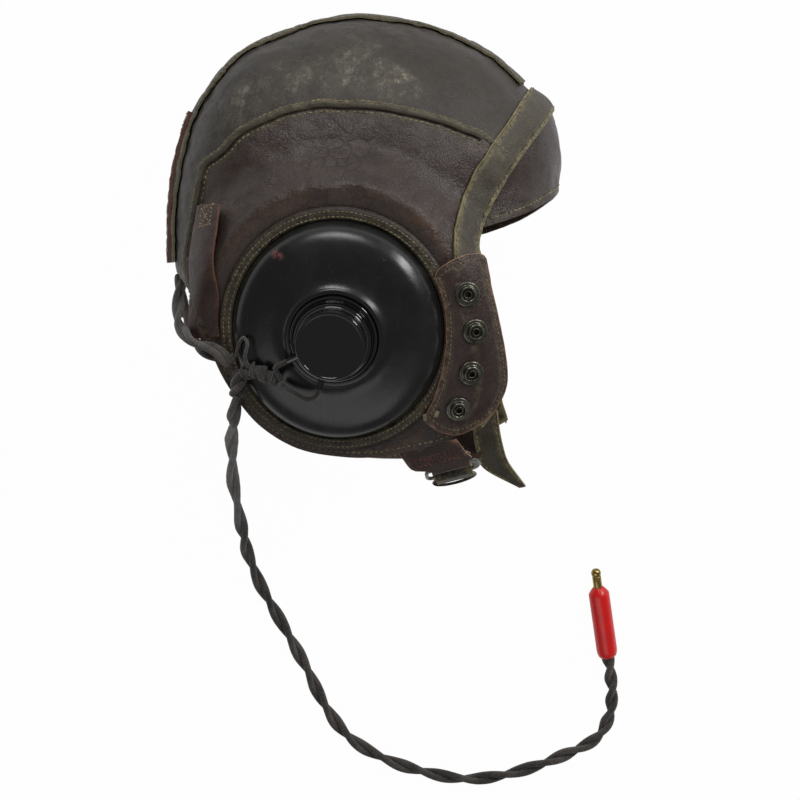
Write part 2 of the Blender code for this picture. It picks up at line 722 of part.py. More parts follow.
def border_distance(flat, outline):
    """How far each flat point is from a closed outline."""
    nearest = np.full(len(flat), np.inf)
    for start, end in zip(outline, outline[1:] + outline[:1]):
        start = np.array(start)
        along = np.array(end) - start
        share = np.clip((flat - start) @ along / (along @ along), 0.0, 1.0)
        nearest = np.minimum(nearest, np.linalg.norm(flat - start - share[:, None] * along, axis=1))
    return nearest


def make_lining():
    """Chamois inside each half of the shell, cut away at the ear and sewn on round its edge."""
    seam = seam_line()
    whole = [*crown_outline()[: 1 - len(seam)], seam[0], *reversed(side_outline()[len(seam) :])]
    whole = [tuple(point) for point in evenly([*whole, whole[0]], LINING_EDGE_POINTS)[:-1]]
    outline = inset(whole, LINING_INSET / HEAD_HALF_WIDTH)
    hole = ear_hole(EAR_HOLE_RADIUS)

    def hem(flat):
        near = 1.0 - smoothstep(border_distance(flat, outline) * HEAD_HALF_WIDTH / LINING_HEM)
        return (LINING_GAP - HEM_GAP) * near

    for side, word in ((RIGHT, "right"), (LEFT, "left")):
        skin("lining_" + word, outline, LINING_LAYER, "chamois", side, [hole], hem, LINING_STEP)


# Ear cups


def dome_profile():
    """The rubber dome in section: a flange under the ring, a swelling shoulder and a socket."""
    rim = DOME_HALF_WIDTH
    low = LEATHER + CLEARANCE
    wall = DOME_WALL
    lip = SOCKET_LIP_RADIUS
    bore = RECEIVER_RADIUS + CLEARANCE
    top = DOME_HEIGHT
    ledge = RECEIVER_BOTTOM - CLEARANCE
    outside = [
        (rim + FLANGE_REACH, low), (rim + FLANGE_REACH, low + FLANGE_THICKNESS),
        (rim, low + FLANGE_THICKNESS), (rim - 0.2 * wall, 0.29 * top),
        (rim - 1.0 * wall, 0.50 * top), (rim - 2.6 * wall, 0.66 * top), (rim - 5.0 * wall, 0.755 * top),
        (rim - 8.3 * wall, 0.815 * top), (lip + 0.9 * wall, 0.925 * top), (lip, top),
    ]
    inside_cup = [
        (bore, top), (bore, ledge), (bore - 2.2 * wall, ledge), (bore - 2.2 * wall, ledge - wall),
        (lip + 0.3 * wall, ledge - wall), (lip + 0.9 * wall, 0.79 * top), (rim - 8.3 * wall, 0.70 * top),
        (rim - 5.0 * wall, 0.64 * top), (rim - 2.8 * wall, 0.50 * top), (rim - 1.3 * wall, 0.27 * top),
        (rim - 1.1 * wall, low),
    ]
    return outside + inside_cup


def ring_profile():
    """The stitched leather ring: it laps over the dome's flange and down to the leather round it."""
    inner = DOME_HALF_WIDTH + CLEARANCE
    step = DOME_HALF_WIDTH + FLANGE_REACH + CLEARANCE
    outer = DOME_HALF_WIDTH + RING_REACH
    low = LEATHER + CLEARANCE
    lap = low + FLANGE_THICKNESS + CLEARANCE
    top = lap + RING_THICKNESS
    return [
        (inner, lap), (step, lap), (step, low), (outer, low), (outer, low + 0.5 * RING_THICKNESS),
        (outer - 0.6 * RING_THICKNESS, lap + 0.6 * RING_THICKNESS), (step, top),
        (inner + 0.5 * RING_THICKNESS, top), (inner, lap + 0.6 * RING_THICKNESS),
    ]


def cap_profile():
    low = RECEIVER_BOTTOM
    rim = low + RECEIVER_WALL + DIAPHRAGM_THICKNESS + 2 * CLEARANCE
    seat = RECEIVER_RADIUS - RECEIVER_WALL
    hole = 0.2 * RECEIVER_RADIUS
    return [
        (hole, low), (RECEIVER_RADIUS, low), (RECEIVER_RADIUS, rim), (seat, rim),
        (seat, low + RECEIVER_WALL), (hole, low + RECEIVER_WALL),
    ]


def case_profile():
    """The receiver's case, as a cup that is closed by its flat outer face."""
    low = RECEIVER_BOTTOM + RECEIVER_WALL + DIAPHRAGM_THICKNESS + 3 * CLEARANCE
    top = RECEIVER_HEIGHT
    edge = 0.4 * RECEIVER_WALL
    inner = RECEIVER_FACE_RADIUS - RECEIVER_WALL
    step = RECEIVER_STEP_RADIUS
    flange_top = DOME_HEIGHT + RECEIVER_WALL
    step_top = 0.5 * (flange_top + top) - RECEIVER_WALL
    outside = [
        (RECEIVER_RADIUS, low), (RECEIVER_RADIUS, flange_top - edge), (RECEIVER_RADIUS - edge, flange_top),
        (step + edge, flange_top), (step, flange_top + edge), (step, step_top - edge),
        (step - edge, step_top), (RECEIVER_FACE_RADIUS, step_top), (RECEIVER_FACE_RADIUS, top - 2 * edge),
        (RECEIVER_FACE_RADIUS - 0.6 * edge, top - 0.6 * edge), (RECEIVER_FACE_RADIUS - 2 * edge, top),
    ]
    return outside, [(inner, top - RECEIVER_WALL), (inner, low)]


def turned_cup(name, outside, inside_cup, finish, side):
    """A turned cup: its outer wall closes in a flat face, and its inner wall in a flat floor."""
    profile = [*outside, *inside_cup]
    count = len(profile)
    steps = ROUND_STEPS
    points = [point for radius, height in profile for point in ear_ring_points(radius, height)]
    faces = closed_ring_faces(count, steps)
    ceiling = len(outside) - 1
    faces = faces[: ceiling * steps] + faces[(ceiling + 1) * steps :]
    faces.append(tuple(range(ceiling * steps, (ceiling + 1) * steps)))
    faces.append(tuple(range((ceiling + 1) * steps, (ceiling + 2) * steps)))
    return add_object(name, mirrored(np.array(points), side), faces, finish)


def disc(radius, low, high):
    return [(radius, low), (radius, high)]


def pad_profile():
    """The ear pad's section: a swelling ring behind the leather, round the ear."""
    outer = EAR_HOLE_RADIUS + EAR_PAD_WIDTH / 3
    inner = outer - EAR_PAD_WIDTH
    top = LINING_LAYER[0] - 0.8 * LAYER_GAP
    middle = (outer + inner) / 2
    deep = top - EAR_PAD_THICKNESS
    made = [(inner + 0.1 * EAR_PAD_WIDTH, top), (outer - 0.1 * EAR_PAD_WIDTH, top)]
    for k in range(5):
        angle = math.pi * k / 4
        reach = EAR_PAD_WIDTH / 2 * math.cos(angle)
        made.append((middle + reach, top - 0.3 * (top - deep) - 0.7 * (top - deep) * math.sin(angle)))
    return made


def make_ears():
    diaphragm_low = RECEIVER_BOTTOM + RECEIVER_WALL + CLEARANCE
    diaphragm_radius = RECEIVER_RADIUS - RECEIVER_WALL - CLEARANCE
    magnet_top = RECEIVER_HEIGHT - RECEIVER_WALL - CLEARANCE
    magnet_radius = RECEIVER_FACE_RADIUS - RECEIVER_WALL - CLEARANCE
    for side, word in ((RIGHT, "right"), (LEFT, "left")):
        turned("ear_dome_" + word, dome_profile(), "rubber", side)
        turned("ear_ring_" + word, ring_profile(), "olive", side)
        turned("receiver_cap_" + word, cap_profile(), "bakelite", side)
        turned_cup("receiver_case_" + word, *case_profile(), "bakelite", side)
        diaphragm = disc(diaphragm_radius, diaphragm_low, diaphragm_low + DIAPHRAGM_THICKNESS)
        turned("receiver_diaphragm_" + word, diaphragm, "steel", side, False, PAD_STEPS)
        magnet = disc(magnet_radius, 0.5 * (diaphragm_low + magnet_top), magnet_top)
        turned("receiver_magnet_" + word, magnet, "steel", side, False, PAD_STEPS)
        turned("ear_pad_" + word, pad_profile(), "chamois", side, True, PAD_STEPS)
        for number, angle in enumerate(TIP_ANGLES_DEG, 1):
            points, faces = cord_tip(angle)
            add_object(f"lead_tip_{word}_{number}", mirrored(np.array(points), side), faces, "brass")


def tip_direction(angle_deg):
    _, forward, up, _ = ear_frame()
    return forward * math.cos(math.radians(angle_deg)) + up * math.sin(math.radians(angle_deg))


def cord_tip(angle_deg):
    """A lead's metal tip, where it stands in the side of the receiver's case."""
    centre, _, _, out = ear_frame()
    direction = tip_direction(angle_deg)
    start = centre + out * TIP_HEIGHT + direction * (RECEIVER_STEP_RADIUS + CLEARANCE)
    return rod(start, start + direction * TIP_LENGTH, [(TIP_RADIUS, 0.0), (TIP_RADIUS, 1.0)], 8)


# Snap patch


def patch_lift(flat):
    """The patch rises where it laps over the ear ring."""
    points = form_point(flat)
    reach = (ear_distance(points[:, 0], points[:, 1]) - 1.0) * (DOME_HALF_WIDTH + RING_REACH)
    ring_top = LEATHER + 2 * CLEARANCE + FLANGE_THICKNESS + RING_THICKNESS
    rise = max(ring_top + LAYER_GAP - TOP_LAYER[0], 0.0)
    return rise * (1.0 - smoothstep((reach - LAYER_GAP) / PATCH_SLOPE))


def clear_of_dome(share):
    """A side-view place, moved out from the ear where it would lie over the dome."""
    wide = (DOME_HALF_WIDTH + PATCH_CLEARANCE) / CROWN_REACH
    high = (DOME_HALF_HEIGHT + PATCH_CLEARANCE) / CROWN_REACH
    x = share[0] - EAR_CENTRE_shares[0]
    y = share[1] - EAR_CENTRE_shares[1]
    out = 1.0 / min(math.hypot(x / wide, y / high), 1.0)
    return (EAR_CENTRE_shares[0] + x * out, EAR_CENTRE_shares[1] + y * out)


def surface_frame(flat, offset):
    """A place on the head form with its along, across and outward directions."""
    flat = np.array([flat])
    normal = Vector(form_normal(flat)[0])
    place = Vector(form_point(flat)[0]) + normal * offset
    along = unit(Vector((0.0, 1.0, 0.0)) - normal * normal.y)
    return place, along, normal.cross(along), normal


def seat_height(flat, radius, layer_top, lift):
    """How high a round piece stands so that its flat base clears the curved leather below it."""
    place, along, across, normal = surface_frame(flat, 0.0)
    tallest = layer_top
    for k in range(12):
        angle = 2 * math.pi * k / 12
        edge = place + along * (radius * math.cos(angle)) + across * (radius * math.sin(angle))
        spot = np.array([flat_point(edge.x / CROWN_REACH, edge.y / CROWN_REACH)])
        extra = float(lift(spot)[0]) if lift else 0.0
        top = Vector(form_point(spot)[0] + form_normal(spot)[0] * (layer_top + extra))
        tallest = max(tallest, (top - place).dot(normal))
    return tallest + CLEARANCE


def round_on_form(flat, height, profile, steps):
    """A piece turned about the head form's normal, from its (radius, height) profile."""
    place, along, across, normal = surface_frame(flat, height)
    points = []
    for radius, up in profile:
        for k in range(steps):
            angle = 2 * math.pi * k / steps
            side = along * math.cos(angle) + across * math.sin(angle)
            points.append(place + side * radius + normal * up)
    return points


def snap_profile():
    radius = SNAP_RADIUS
    height = SNAP_HEIGHT
    bore = SNAP_BORE_RADIUS
    return [
        (bore, 0.0), (radius, 0.0), (0.95 * radius, 0.35 * height), (0.72 * radius, 0.42 * height),
        (0.62 * radius, height), (0.42 * radius, 0.80 * height), (bore, 0.55 * height),
    ]


def make_snap_patches():
    places = [flat_point(*share) for share in SNAP_shares]
    profile = snap_profile()
    for side, word in ((RIGHT, "right"), (LEFT, "left")):
        outline = [flat_point(*clear_of_dome(share)) for share in (*PATCH_shares, PATCH_shares[0])]
        outline = smooth(outline, 3)[:-1]
        skin("snap_patch_" + word, outline, TOP_LAYER, "red_brown", side, (), patch_lift, PATCH_STEP)
        for number, place in enumerate(places, 1):
            height = seat_height(place, SNAP_RADIUS, TOP_LAYER[1], patch_lift)
            points = round_on_form(place, height, profile, SNAP_STEPS)
            faces = closed_ring_faces(len(profile), SNAP_STEPS)
            add_object(f"snap_{word}_{number}", mirrored(np.array(points), side), faces, "gunmetal")


# Goggle-strap tabs


def split_path(path):
    """The sewn end and the free end of a tab, cut square at the hinge line."""
    walked = np.concatenate([[0.0], np.cumsum(np.linalg.norm(np.diff(form_point(path), axis=0), axis=1))])
    sewn = np.linspace(0.0, TAB_SEWN_LENGTH, 4)
    free = np.linspace(TAB_SEWN_LENGTH + 2 * CLEARANCE, walked[-1], 18)
    pick = [np.stack([np.interp(run, walked, path[:, k]) for k in range(2)], axis=1) for run in (sewn, free)]
    return pick


def hinge_place(path, side, layer):
    """A point on a tab's hinge line, on its outer face, and the line's direction."""
    _, free = split_path(path)
    place = on_form(free[:1], layer[1], side)[0]
    along = mirrored(form_point(free[1:2])[0] - form_point(free[:1])[0], side)
    normal = mirrored(form_normal(free[:1])[0], side)
    return Vector(place), unit(np.cross(along, normal))


def make_tab(word, path, side):
    """A leather tab: a sewn end, and a free end that swings from it."""
    sewn, free = split_path(path)
    pivot, _ = hinge_place(path, side, TAB_LAYER)
    strap("tab_base_" + word, sewn, TAB_WIDTH, TAB_LAYER, "red_brown", side, 3)
    strap("tab_strap_" + word, free, TAB_WIDTH, TAB_LAYER, "red_brown", side, 3, pivot)


def side_tab_path():
    return np.array(smooth([flat_point(*share) for share in TAB_shares], 8))


def rear_tab_path():
    return np.array(middle_line(REAR_TAB_TOP_DEG, REAR_TAB_END_DEG, 40))


def make_tabs():
    for side, word in ((RIGHT, "right"), (LEFT, "left")):
        make_tab(word, side_tab_path(), side)
    make_tab("rear", rear_tab_path(), RIGHT)


# Chin strap


def on_head(shares):
    """A place from its shares of the crown's reach and of the head's half width."""
    return Vector((shares[0] * CROWN_REACH, shares[1] * CROWN_REACH, shares[2] * HEAD_HALF_WIDTH))


def ribbon(route, directions, widths, thickness):
    """Points and faces of a flat band along a route, with each row along its own direction."""
    route = [Vector(point) for point in route]
    points = []
    for k, place in enumerate(route):
        along = route[min(k + 1, len(route) - 1)] - route[max(k - 1, 0)]
        across = unit(directions[k])
        normal = unit(along.cross(across))
        for a, b in ((-1, -1), (1, -1), (1, 1), (-1, 1)):
            points.append(place + across * (a * widths[k] / 2) + normal * (b * thickness / 2))
    faces = [((a, b, c), (a, c, d)) for a, b, c, d in lofted_faces(len(route), 4)]
    return points, [half for pair in faces for half in pair]


def fold(centre, reach, start, toward, count=8):
    """A half turn of points about a bar's centre, from one face of a folded strip to the other."""
    made = []
    for k in range(count + 1):
        angle = math.pi * k / count
        made.append(centre + start * (reach * math.cos(angle)) + toward * (reach * math.sin(angle)))
    return made


def buckle_directions():
    """Along the buckle's bars, across from the near bar to the far one, and out of its plane."""
    along = unit(BUCKLE_ALONG)
    across = Vector(BUCKLE_ACROSS)
    across = unit(across - along * along.dot(across))
    return along, across, across.cross(along)


def make_chin_tab():
    """The tab folds round the buckle's near bar, so its two layers and its fold are one strip."""
    along = buckle_directions()[0]
    bar = on_head(BUCKLE_BAR_shares)
    reach = BUCKLE_WIRE_RADIUS + CLEARANCE + LEATHER / 2
    top = on_head(CHIN_TAB_TOP_shares)
    knee = on_head(CHIN_TAB_KNEE_shares)
    down = unit((bar - knee) - along * along.dot(bar - knee))
    out = down.cross(along)
    turn = fold(bar, reach, out, down)
    route = [top + out * reach, knee + out * reach, *turn, knee - out * reach]
    widths = [CHIN_TAB_WIDTH, CHIN_TAB_WIDTH, *[CHIN_TAB_FOLD_WIDTH] * len(turn), CHIN_TAB_WIDTH]
    points, faces = ribbon(route, [along] * len(route), widths, LEATHER)
    add_object("chin_tab", points, faces, "red_brown")


def wire_loop(corners, radius, bend, steps, ring):
    """A closed loop of round wire with rounded corners."""
    corners = [Vector(corner) for corner in corners]
    route = []
    for before, here, after in zip(corners[-1:] + corners[:-1], corners, corners[1:] + corners[:1]):
        start = here + unit(before - here) * bend
        end = here + unit(after - here) * bend
        for k in range(steps + 1):
            t = k / steps
            route.append(start * (1 - t) ** 2 + here * (2 * t * (1 - t)) + end * t**2)
    flat = unit((corners[1] - corners[0]).cross(corners[2] - corners[1]))
    points = []
    for k, place in enumerate(route):
        along = unit(route[(k + 1) % len(route)] - route[k - 1])
        points += tube_ring(place, along, radius, ring, flat)[0]
    return points, closed_ring_faces(len(route), ring)


def make_buckle():
    along, across, _ = buckle_directions()
    bar = on_head(BUCKLE_BAR_shares)
    half = along * BUCKLE_LENGTH / 2
    deep = across * BUCKLE_DEPTH
    corners = [bar - half, bar + half, bar + half + deep, bar - half + deep]
    points, faces = wire_loop(corners, BUCKLE_WIRE_RADIUS, 2.5 * BUCKLE_WIRE_RADIUS, 3, 8)
    add_object("buckle_frame", points, faces, "gunmetal", bar)


def make_chin_strap():
    """The strap comes from under the chin, folds over the buckle's far bar and turns back."""
    along, across, out = buckle_directions()
    bar = on_head(BUCKLE_BAR_shares) + across * BUCKLE_DEPTH + along * STRAP_OFFSET
    reach = BUCKLE_WIRE_RADIUS + CLEARANCE + CHIN_STRAP_THICKNESS / 2
    turn = fold(bar, reach, out, -across)
    under = smooth([on_head(share) for share in CHIN_STRAP_shares], 3)
    end = smooth([on_head(share) for share in STRAP_END_shares], 2)
    route = [*under, *turn, *end]
    widths = [CHIN_STRAP_WIDTH] * len(route)
    points, faces = ribbon(route, [along] * len(route), widths, CHIN_STRAP_THICKNESS)
    add_object("chin_strap", points, faces, "olive")


def make_band_end():
    """The left end of the front band goes on below the jaw and hangs free."""
    path = evenly(band_path(), BAND_ROWS)[-3:]
    flat = across_form(path, [np.linspace(-BAND_WIDTH / 2, BAND_WIDTH / 2, 4)] * 3)[4:]
    before, low = on_form(flat, TRIM_LAYER[0]).reshape(2, 4, 3)
    high = on_form(flat, TRIM_LAYER[1])[4:]
    last = Vector((low + high).mean(axis=0) / 2)
    across = Vector(low[-1] - low[0])
    onward = unit(low.mean(axis=0) - before.mean(axis=0))
    out = max((Vector(place) - last).dot(onward) for place in (*low, *high))
    start = [last + onward * (out + reach) for reach in (BAND_END_GAP, BAND_END_GAP + LEATHER)]
    hanging = Vector(BAND_END_ACROSS) * BAND_WIDTH
    if hanging.dot(across) < 0.0:
        hanging.negate()
    places = [*start, *[on_head(share) for share in BAND_END_shares]]
    turns = [across, across, across.lerp(hanging, BAND_END_TURN_share), hanging, hanging]
    rows = [(*place, *turn, wide) for place, turn, wide in zip(places, turns, BAND_END_WIDTHS)]
    rows = smooth(rows, 4)
    widths = [row[6] for row in rows]
    points, faces = ribbon([row[:3] for row in rows], [row[3:6] for row in rows], widths, LEATHER)
    add_object("chin_band_end", points, faces, "olive")


# Lead and plug


def from_table(place):
    """A place in the table's frame, given in the helmet's own frame."""
    return stance_matrix().transposed() @ (Vector(place) - Vector((0.0, 0.0, stance_lift())))


def add_tube(name, route, radius, finish, steps=2):
    """A round cord along a smooth curve through its route points."""
    line = np.array([tuple(point) for point in smooth(route, 8)])
    length = np.linalg.norm(np.diff(line, axis=0), axis=1).sum()
    line = evenly(line, max(int(length / (2 * radius * CORD_STEP_share)) + 1, 6))
    curve = bpy.data.curves.new(name, "CURVE")
    curve.dimensions = "3D"
    curve.bevel_depth = radius
    curve.bevel_resolution = steps
    curve.use_fill_caps = True
    spline = curve.splines.new("POLY")
    spline.points.add(len(line) - 1)
    for point, place in zip(spline.points, line):
        point.co = (*place, 1.0)
    curve.materials.append(material(finish))
    obj = bpy.data.objects.new(name, curve)
    bpy.context.scene.collection.objects.link(obj)
    obj.parent = bpy.data.objects["stance"]
    return [Vector(place) for place in line]


def make_leads():
    add_tube("lead_bundle_right", [ear_place(place) for place in BUNDLE_ROUTE], BRANCH_RADIUS, "cord")
    for number, route in enumerate(TAIL_ROUTES, 1):
        add_tube(f"lead_tail_right_{number}", [ear_place(place) for place in route], TAIL_RADIUS, "cord", 1)
    branch = [on_head(share) for share in BRANCH_shares]
    add_tube("lead_branch_left", branch, BRANCH_RADIUS, "cord")
    route = [from_table(place) for place in LEAD_ROUTE]
    line = add_tube("main_lead", route, LEAD_RADIUS, "cord")
    toward = unit(line[0] - line[1])
    low = line[0] + toward * CLEARANCE
    profile = [(0.55, 0.0), (0.92, 0.2), (1.0, 0.5), (0.9, 0.8), (0.5, 1.0)]
    profile = [(JUNCTION_RADIUS * radius, share) for radius, share in profile]
    points, faces = rod(low, low + toward * JUNCTION_LENGTH, profile, 10)
    add_object("lead_junction", points, faces, "cord")


def make_plug():
    turn = math.radians(PLUG_TURN_DEG)
    start = from_table((*PLUG_PLACE, PLUG_SLEEVE_RADIUS))
    ahead = Vector((*PLUG_PLACE, PLUG_SLEEVE_RADIUS)) + Vector((math.cos(turn), math.sin(turn), 0.0))
    along = from_table(ahead) - start
    shaft = start + along * (PLUG_SLEEVE_LENGTH + CLEARANCE)
    tip = shaft + along * (PLUG_SHAFT_LENGTH + CLEARANCE)
    sleeve = [(0.72, 0.0), (0.95, 0.06), (1.0, 0.10), (1.0, 0.84), (0.62, 1.0)]
    sleeve = [(PLUG_SLEEVE_RADIUS * radius, share) for radius, share in sleeve]
    points, faces = rod(start, start + along * PLUG_SLEEVE_LENGTH, sleeve, 16)
    add_object("plug_sleeve", points, faces, "red")
    profile = [(PLUG_SHAFT_RADIUS, 0.0), (PLUG_SHAFT_RADIUS, 1.0)]
    points, faces = rod(shaft, shaft + along * PLUG_SHAFT_LENGTH, profile, 12)
    add_object("plug_shaft", points, faces, "brass")
    profile = [(0.7, 0.0), (1.0, 0.14), (1.0, 0.45), (0.62, 0.62), (0.82, 0.82), (0.35, 1.0)]
    profile = [(PLUG_TIP_RADIUS * radius, share) for radius, share in profile]
    points, faces = rod(tip, tip + along * PLUG_TIP_LENGTH, profile, 12)
    add_object("plug_tip", points, faces, "brass")


def centre_on_table():
    """Moves everything so that the origin is under the middle of all but the lead."""
    bpy.context.view_layer.update()
    stance = bpy.data.objects["stance"]
    places = []
    for obj in stance.children:
        if obj.name not in LEAD_NODES:
            places += [obj.matrix_world @ vertex.co for vertex in obj.data.vertices]
    for axis in range(2):
        reach = [place[axis] for place in places]
        stance.location[axis] -= (min(reach) + max(reach)) / 2


def main():
    clear_scene()
    stance = bpy.data.objects.new("stance", None)
    bpy.context.scene.collection.objects.link(stance)
    stance.rotation_euler = stance_matrix().to_euler()
    stance.location.z = stance_lift()
    make_shell()
    make_lining()
    make_ears()
    make_snap_patches()
    make_tabs()
    make_chin_tab()
    make_buckle()
    make_chin_strap()
    make_band_end()
    make_leads()
    make_plug()
    centre_on_table()


main()
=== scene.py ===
"""A worn leather flying helmet lying on a pale floor, with its receivers, lead and plug."""

import json
import math

import bmesh
import bpy
import numpy as np
from mathutils import Matrix, Vector, noise
from mathutils.geometry import delaunay_2d_cdt
from mathutils.kdtree import KDTree


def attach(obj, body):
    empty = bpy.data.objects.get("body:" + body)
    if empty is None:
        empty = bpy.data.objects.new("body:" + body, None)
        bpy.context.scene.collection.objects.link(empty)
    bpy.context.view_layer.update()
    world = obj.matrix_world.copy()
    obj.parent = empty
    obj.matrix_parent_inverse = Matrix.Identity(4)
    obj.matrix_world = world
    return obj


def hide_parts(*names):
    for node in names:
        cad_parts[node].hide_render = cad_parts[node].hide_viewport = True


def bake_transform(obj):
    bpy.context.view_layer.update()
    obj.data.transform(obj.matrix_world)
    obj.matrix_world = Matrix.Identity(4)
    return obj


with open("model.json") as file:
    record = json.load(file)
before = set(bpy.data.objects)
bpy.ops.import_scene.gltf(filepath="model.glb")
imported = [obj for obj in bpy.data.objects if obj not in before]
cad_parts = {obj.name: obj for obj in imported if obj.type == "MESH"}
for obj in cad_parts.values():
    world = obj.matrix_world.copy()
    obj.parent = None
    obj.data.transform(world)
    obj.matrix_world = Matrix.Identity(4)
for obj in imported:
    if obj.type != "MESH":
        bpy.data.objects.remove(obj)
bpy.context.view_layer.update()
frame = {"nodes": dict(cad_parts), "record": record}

# The head's own frame is +X to the face, +Y to the crown and +Z to the wearer's right. The helmet
# leans on the floor, and the mount on its opening tells where that frame is.
LEAN = Matrix.Rotation(math.radians(-22.0), 3, "X")
HEAD_OPENING = Vector((-0.010, -0.125, 0.0))
MOUNT = next(m for m in frame["record"]["mounts"] if m["name"] == "head_opening")
PLACE = Vector(MOUNT["pos_m"]) - LEAN @ HEAD_OPENING
TURN = np.array(LEAN)
RIGHT, LEFT = 1, -1
SIDES = ((RIGHT, "right"), (LEFT, "left"))

# The camera looks square at the wearer's right side
CAMERA_PLACE = (0.0324, -0.1110, 3.0)
HALF_VIEW = 0.24
LIT_SPOT = (0.0, -0.03, 0.06)
LAMPS = (
    ("key", (-0.20, 1.20, 1.25), (0.9, 0.45), 12.0),
    ("side", (1.25, 0.75, 1.05), (0.35, 1.0), 15.5),
    ("low", (-0.30, -1.45, 1.05), (1.8, 0.9), 5.5),
)
WORLD_LIGHT = 0.19
WHITE = (1.0, 1.0, 1.0)
FLOOR_REACH, FLOOR_HEIGHT = 4.0, -0.0005
FLOOR_GLOW, FLOOR_BOUNCE_GLOW = 0.98, 0.5

# Head form, as (angle, reach) and as shares of the crown's height in side view
CROWN = 0.120
HALF_WIDTH = 0.082
FLAT = 1.0 / HALF_WIDTH
FULLNESS = 0.20
OUTLINE = (
    (-90.0, 1.605), (-77.0, 1.625), (-48.0, 1.485), (-18.0, 1.155), (6.3, 1.060),
    (16.0, 1.112), (28.3, 1.140), (35.0, 1.090), (52.0, 1.050), (63.0, 1.015),
    (75.0, 0.984), (87.0, 0.977), (97.5, 0.963), (109.0, 0.940), (122.6, 0.943),
    (144.0, 0.898), (155.0, 0.862), (167.0, 0.846), (178.0, 0.842), (192.0, 0.866),
    (210.0, 0.945), (225.0, 1.193), (243.0, 1.440),
)
SEAM = (
    (-0.725, -0.440), (-0.760, -0.293), (-0.752, -0.136), (-0.722, 0.043), (-0.698, 0.165),
    (-0.672, 0.235), (-0.591, 0.290), (-0.498, 0.385), (-0.360, 0.452), (-0.159, 0.510),
    (0.002, 0.510), (0.148, 0.504), (0.333, 0.470), (0.524, 0.418), (0.700, 0.330), (0.769, 0.275),
)
BAND = (
    (0.615, -1.015), (0.668, -0.930), (0.690, -0.780), (0.668, -0.600), (0.622, -0.398),
    (0.587, -0.223), (0.592, -0.096), (0.641, 0.047), (0.769, 0.275), (0.932, 0.497),
)
BAND_LEFT = ((0.668, -0.600), (0.692, -0.780), (0.714, -0.930), (0.740, -1.050))
FACE_TOP = ((0.592, -0.096), (0.642, -0.130), (0.648, -0.250), (0.690, -0.420), (0.730, -0.600), (0.752, -0.780))
FACE_EDGE = (*FACE_TOP, (0.744, -0.870), (0.700, -0.960), (0.640, -1.025), (0.600, -1.057))
FACE_LEFT = (*FACE_TOP, (0.750, -0.890), (0.742, -1.000), (0.730, -1.120), (0.680, -1.215))
JAW = (
    (0.600, -1.057), (0.466, -1.136), (0.270, -1.185), (0.001, -1.205), (-0.225, -1.165),
    (-0.412, -1.055), (-0.530, -0.918), (-0.606, -0.795), (-0.668, -0.655), (-0.725, -0.440),
)
JAW_LEFT = ((0.680, -1.215), (0.520, -1.248), (0.300, -1.222), (0.001, -1.205))
BROW_EDGE = ((0.592, -0.096), (0.671, -0.084), (0.780, -0.050), (0.899, -0.001), (1.000, 0.060))
BROW_TIP = 6.6
NAPE = 196.5
BAND_TOP = 30.4
CROWN_STRIP = (BAND_TOP + 6.0, NAPE - 1.0)
PATCH = (
    (0.411, -0.350), (0.450, -0.287), (0.510, -0.243), (0.577, -0.223), (0.651, -0.238),
    (0.684, -0.388), (0.726, -0.558), (0.765, -0.778), (0.757, -0.866), (0.702, -0.964),
    (0.628, -1.032), (0.510, -1.077), (0.395, -1.015), (0.440, -0.900), (0.478, -0.770),
    (0.490, -0.640), (0.478, -0.510), (0.445, -0.405),
)
SNAPS = ((0.584, -0.404), (0.620, -0.580), (0.603, -0.778), (0.544, -0.950))
TACKS = (((0.398, -0.992), 0.15), ((0.452, -0.975), -0.35))
SIDE_TAB = ((-0.632, 0.017), (-0.652, -0.139), (-0.664, -0.310), (-0.666, -0.483), (-0.658, -0.610))
REAR_TAB = (146.0, 195.5)
TAB_WIDTH = 0.0150
TAB_BEND = (0.0110, 0.0200)

# Leather: how it stands off the plain form, and the layers it lies in
DENT, CREASE = 0.0011, 0.0009
ROLL, ROLL_AT, ROLL_WIDTH = 0.0024, 1.118, 0.058
SETTLE, SETTLE_DEEP = 0.0020, 0.0160
BAND_WIDTH = 0.0185
SKIN = 0.0014
GAP = 0.0010
CLEAR = 0.0003
ON_TOP = 0.0001
PANEL = (0.0, SKIN)
TRIM = (SKIN + GAP, 2 * SKIN + GAP)
WELT = (SKIN + GAP, 2 * SKIN + GAP - 0.0001)
TOP = (TRIM[1] + GAP, TRIM[1] + GAP + SKIN)
LINING = (-0.0050, -0.0040)
UNWORN = 9.0

# Ear cups
EAR_CENTRE = (-0.028, -0.574)
EAR_SEAT = 0.0765
EAR_DOWN = 14.0
EAR_BACK = 5.5
EAR_HOLE = 0.4170 * CROWN
DOME_WIDE = 0.5160 * CROWN
DOME_HIGH = 0.5430 * CROWN
DOME_TOP = 0.0270
DOME_WALL = 0.0030
FLANGE = 0.0052
FLANGE_THICK = 0.0010
RING_REACH = 0.0082
RING_TOP = SKIN + 2 * CLEAR + FLANGE_THICK + 0.0018
LIP = 0.0280
CASE = 0.0255
CASE_STEP = 0.0225
CASE_FACE = 0.0205
CASE_LOW = 0.0163
CASE_TOP = 0.0470
PAD_WIDE, PAD_HIGH = 0.0075, 0.0044


def smoothstep(t):
    t = np.clip(t, 0.0, 1.0)
    return t * t * (3 - 2 * t)


def unit(vector):
    return Vector(vector).normalized()


def rows_of(points):
    """Points of any kind as the rows of one array."""
    return np.array([tuple(p) for p in points])


def mirrored(points, side):
    return points * [1.0, 1.0, side]


def to_world(place):
    return LEAN @ Vector(place) + PLACE


def circle(count):
    """The cosine and sine of evenly spaced angles round one turn."""
    angles = [2 * math.pi * k / count for k in range(count)]
    return [(math.cos(angle), math.sin(angle)) for angle in angles]


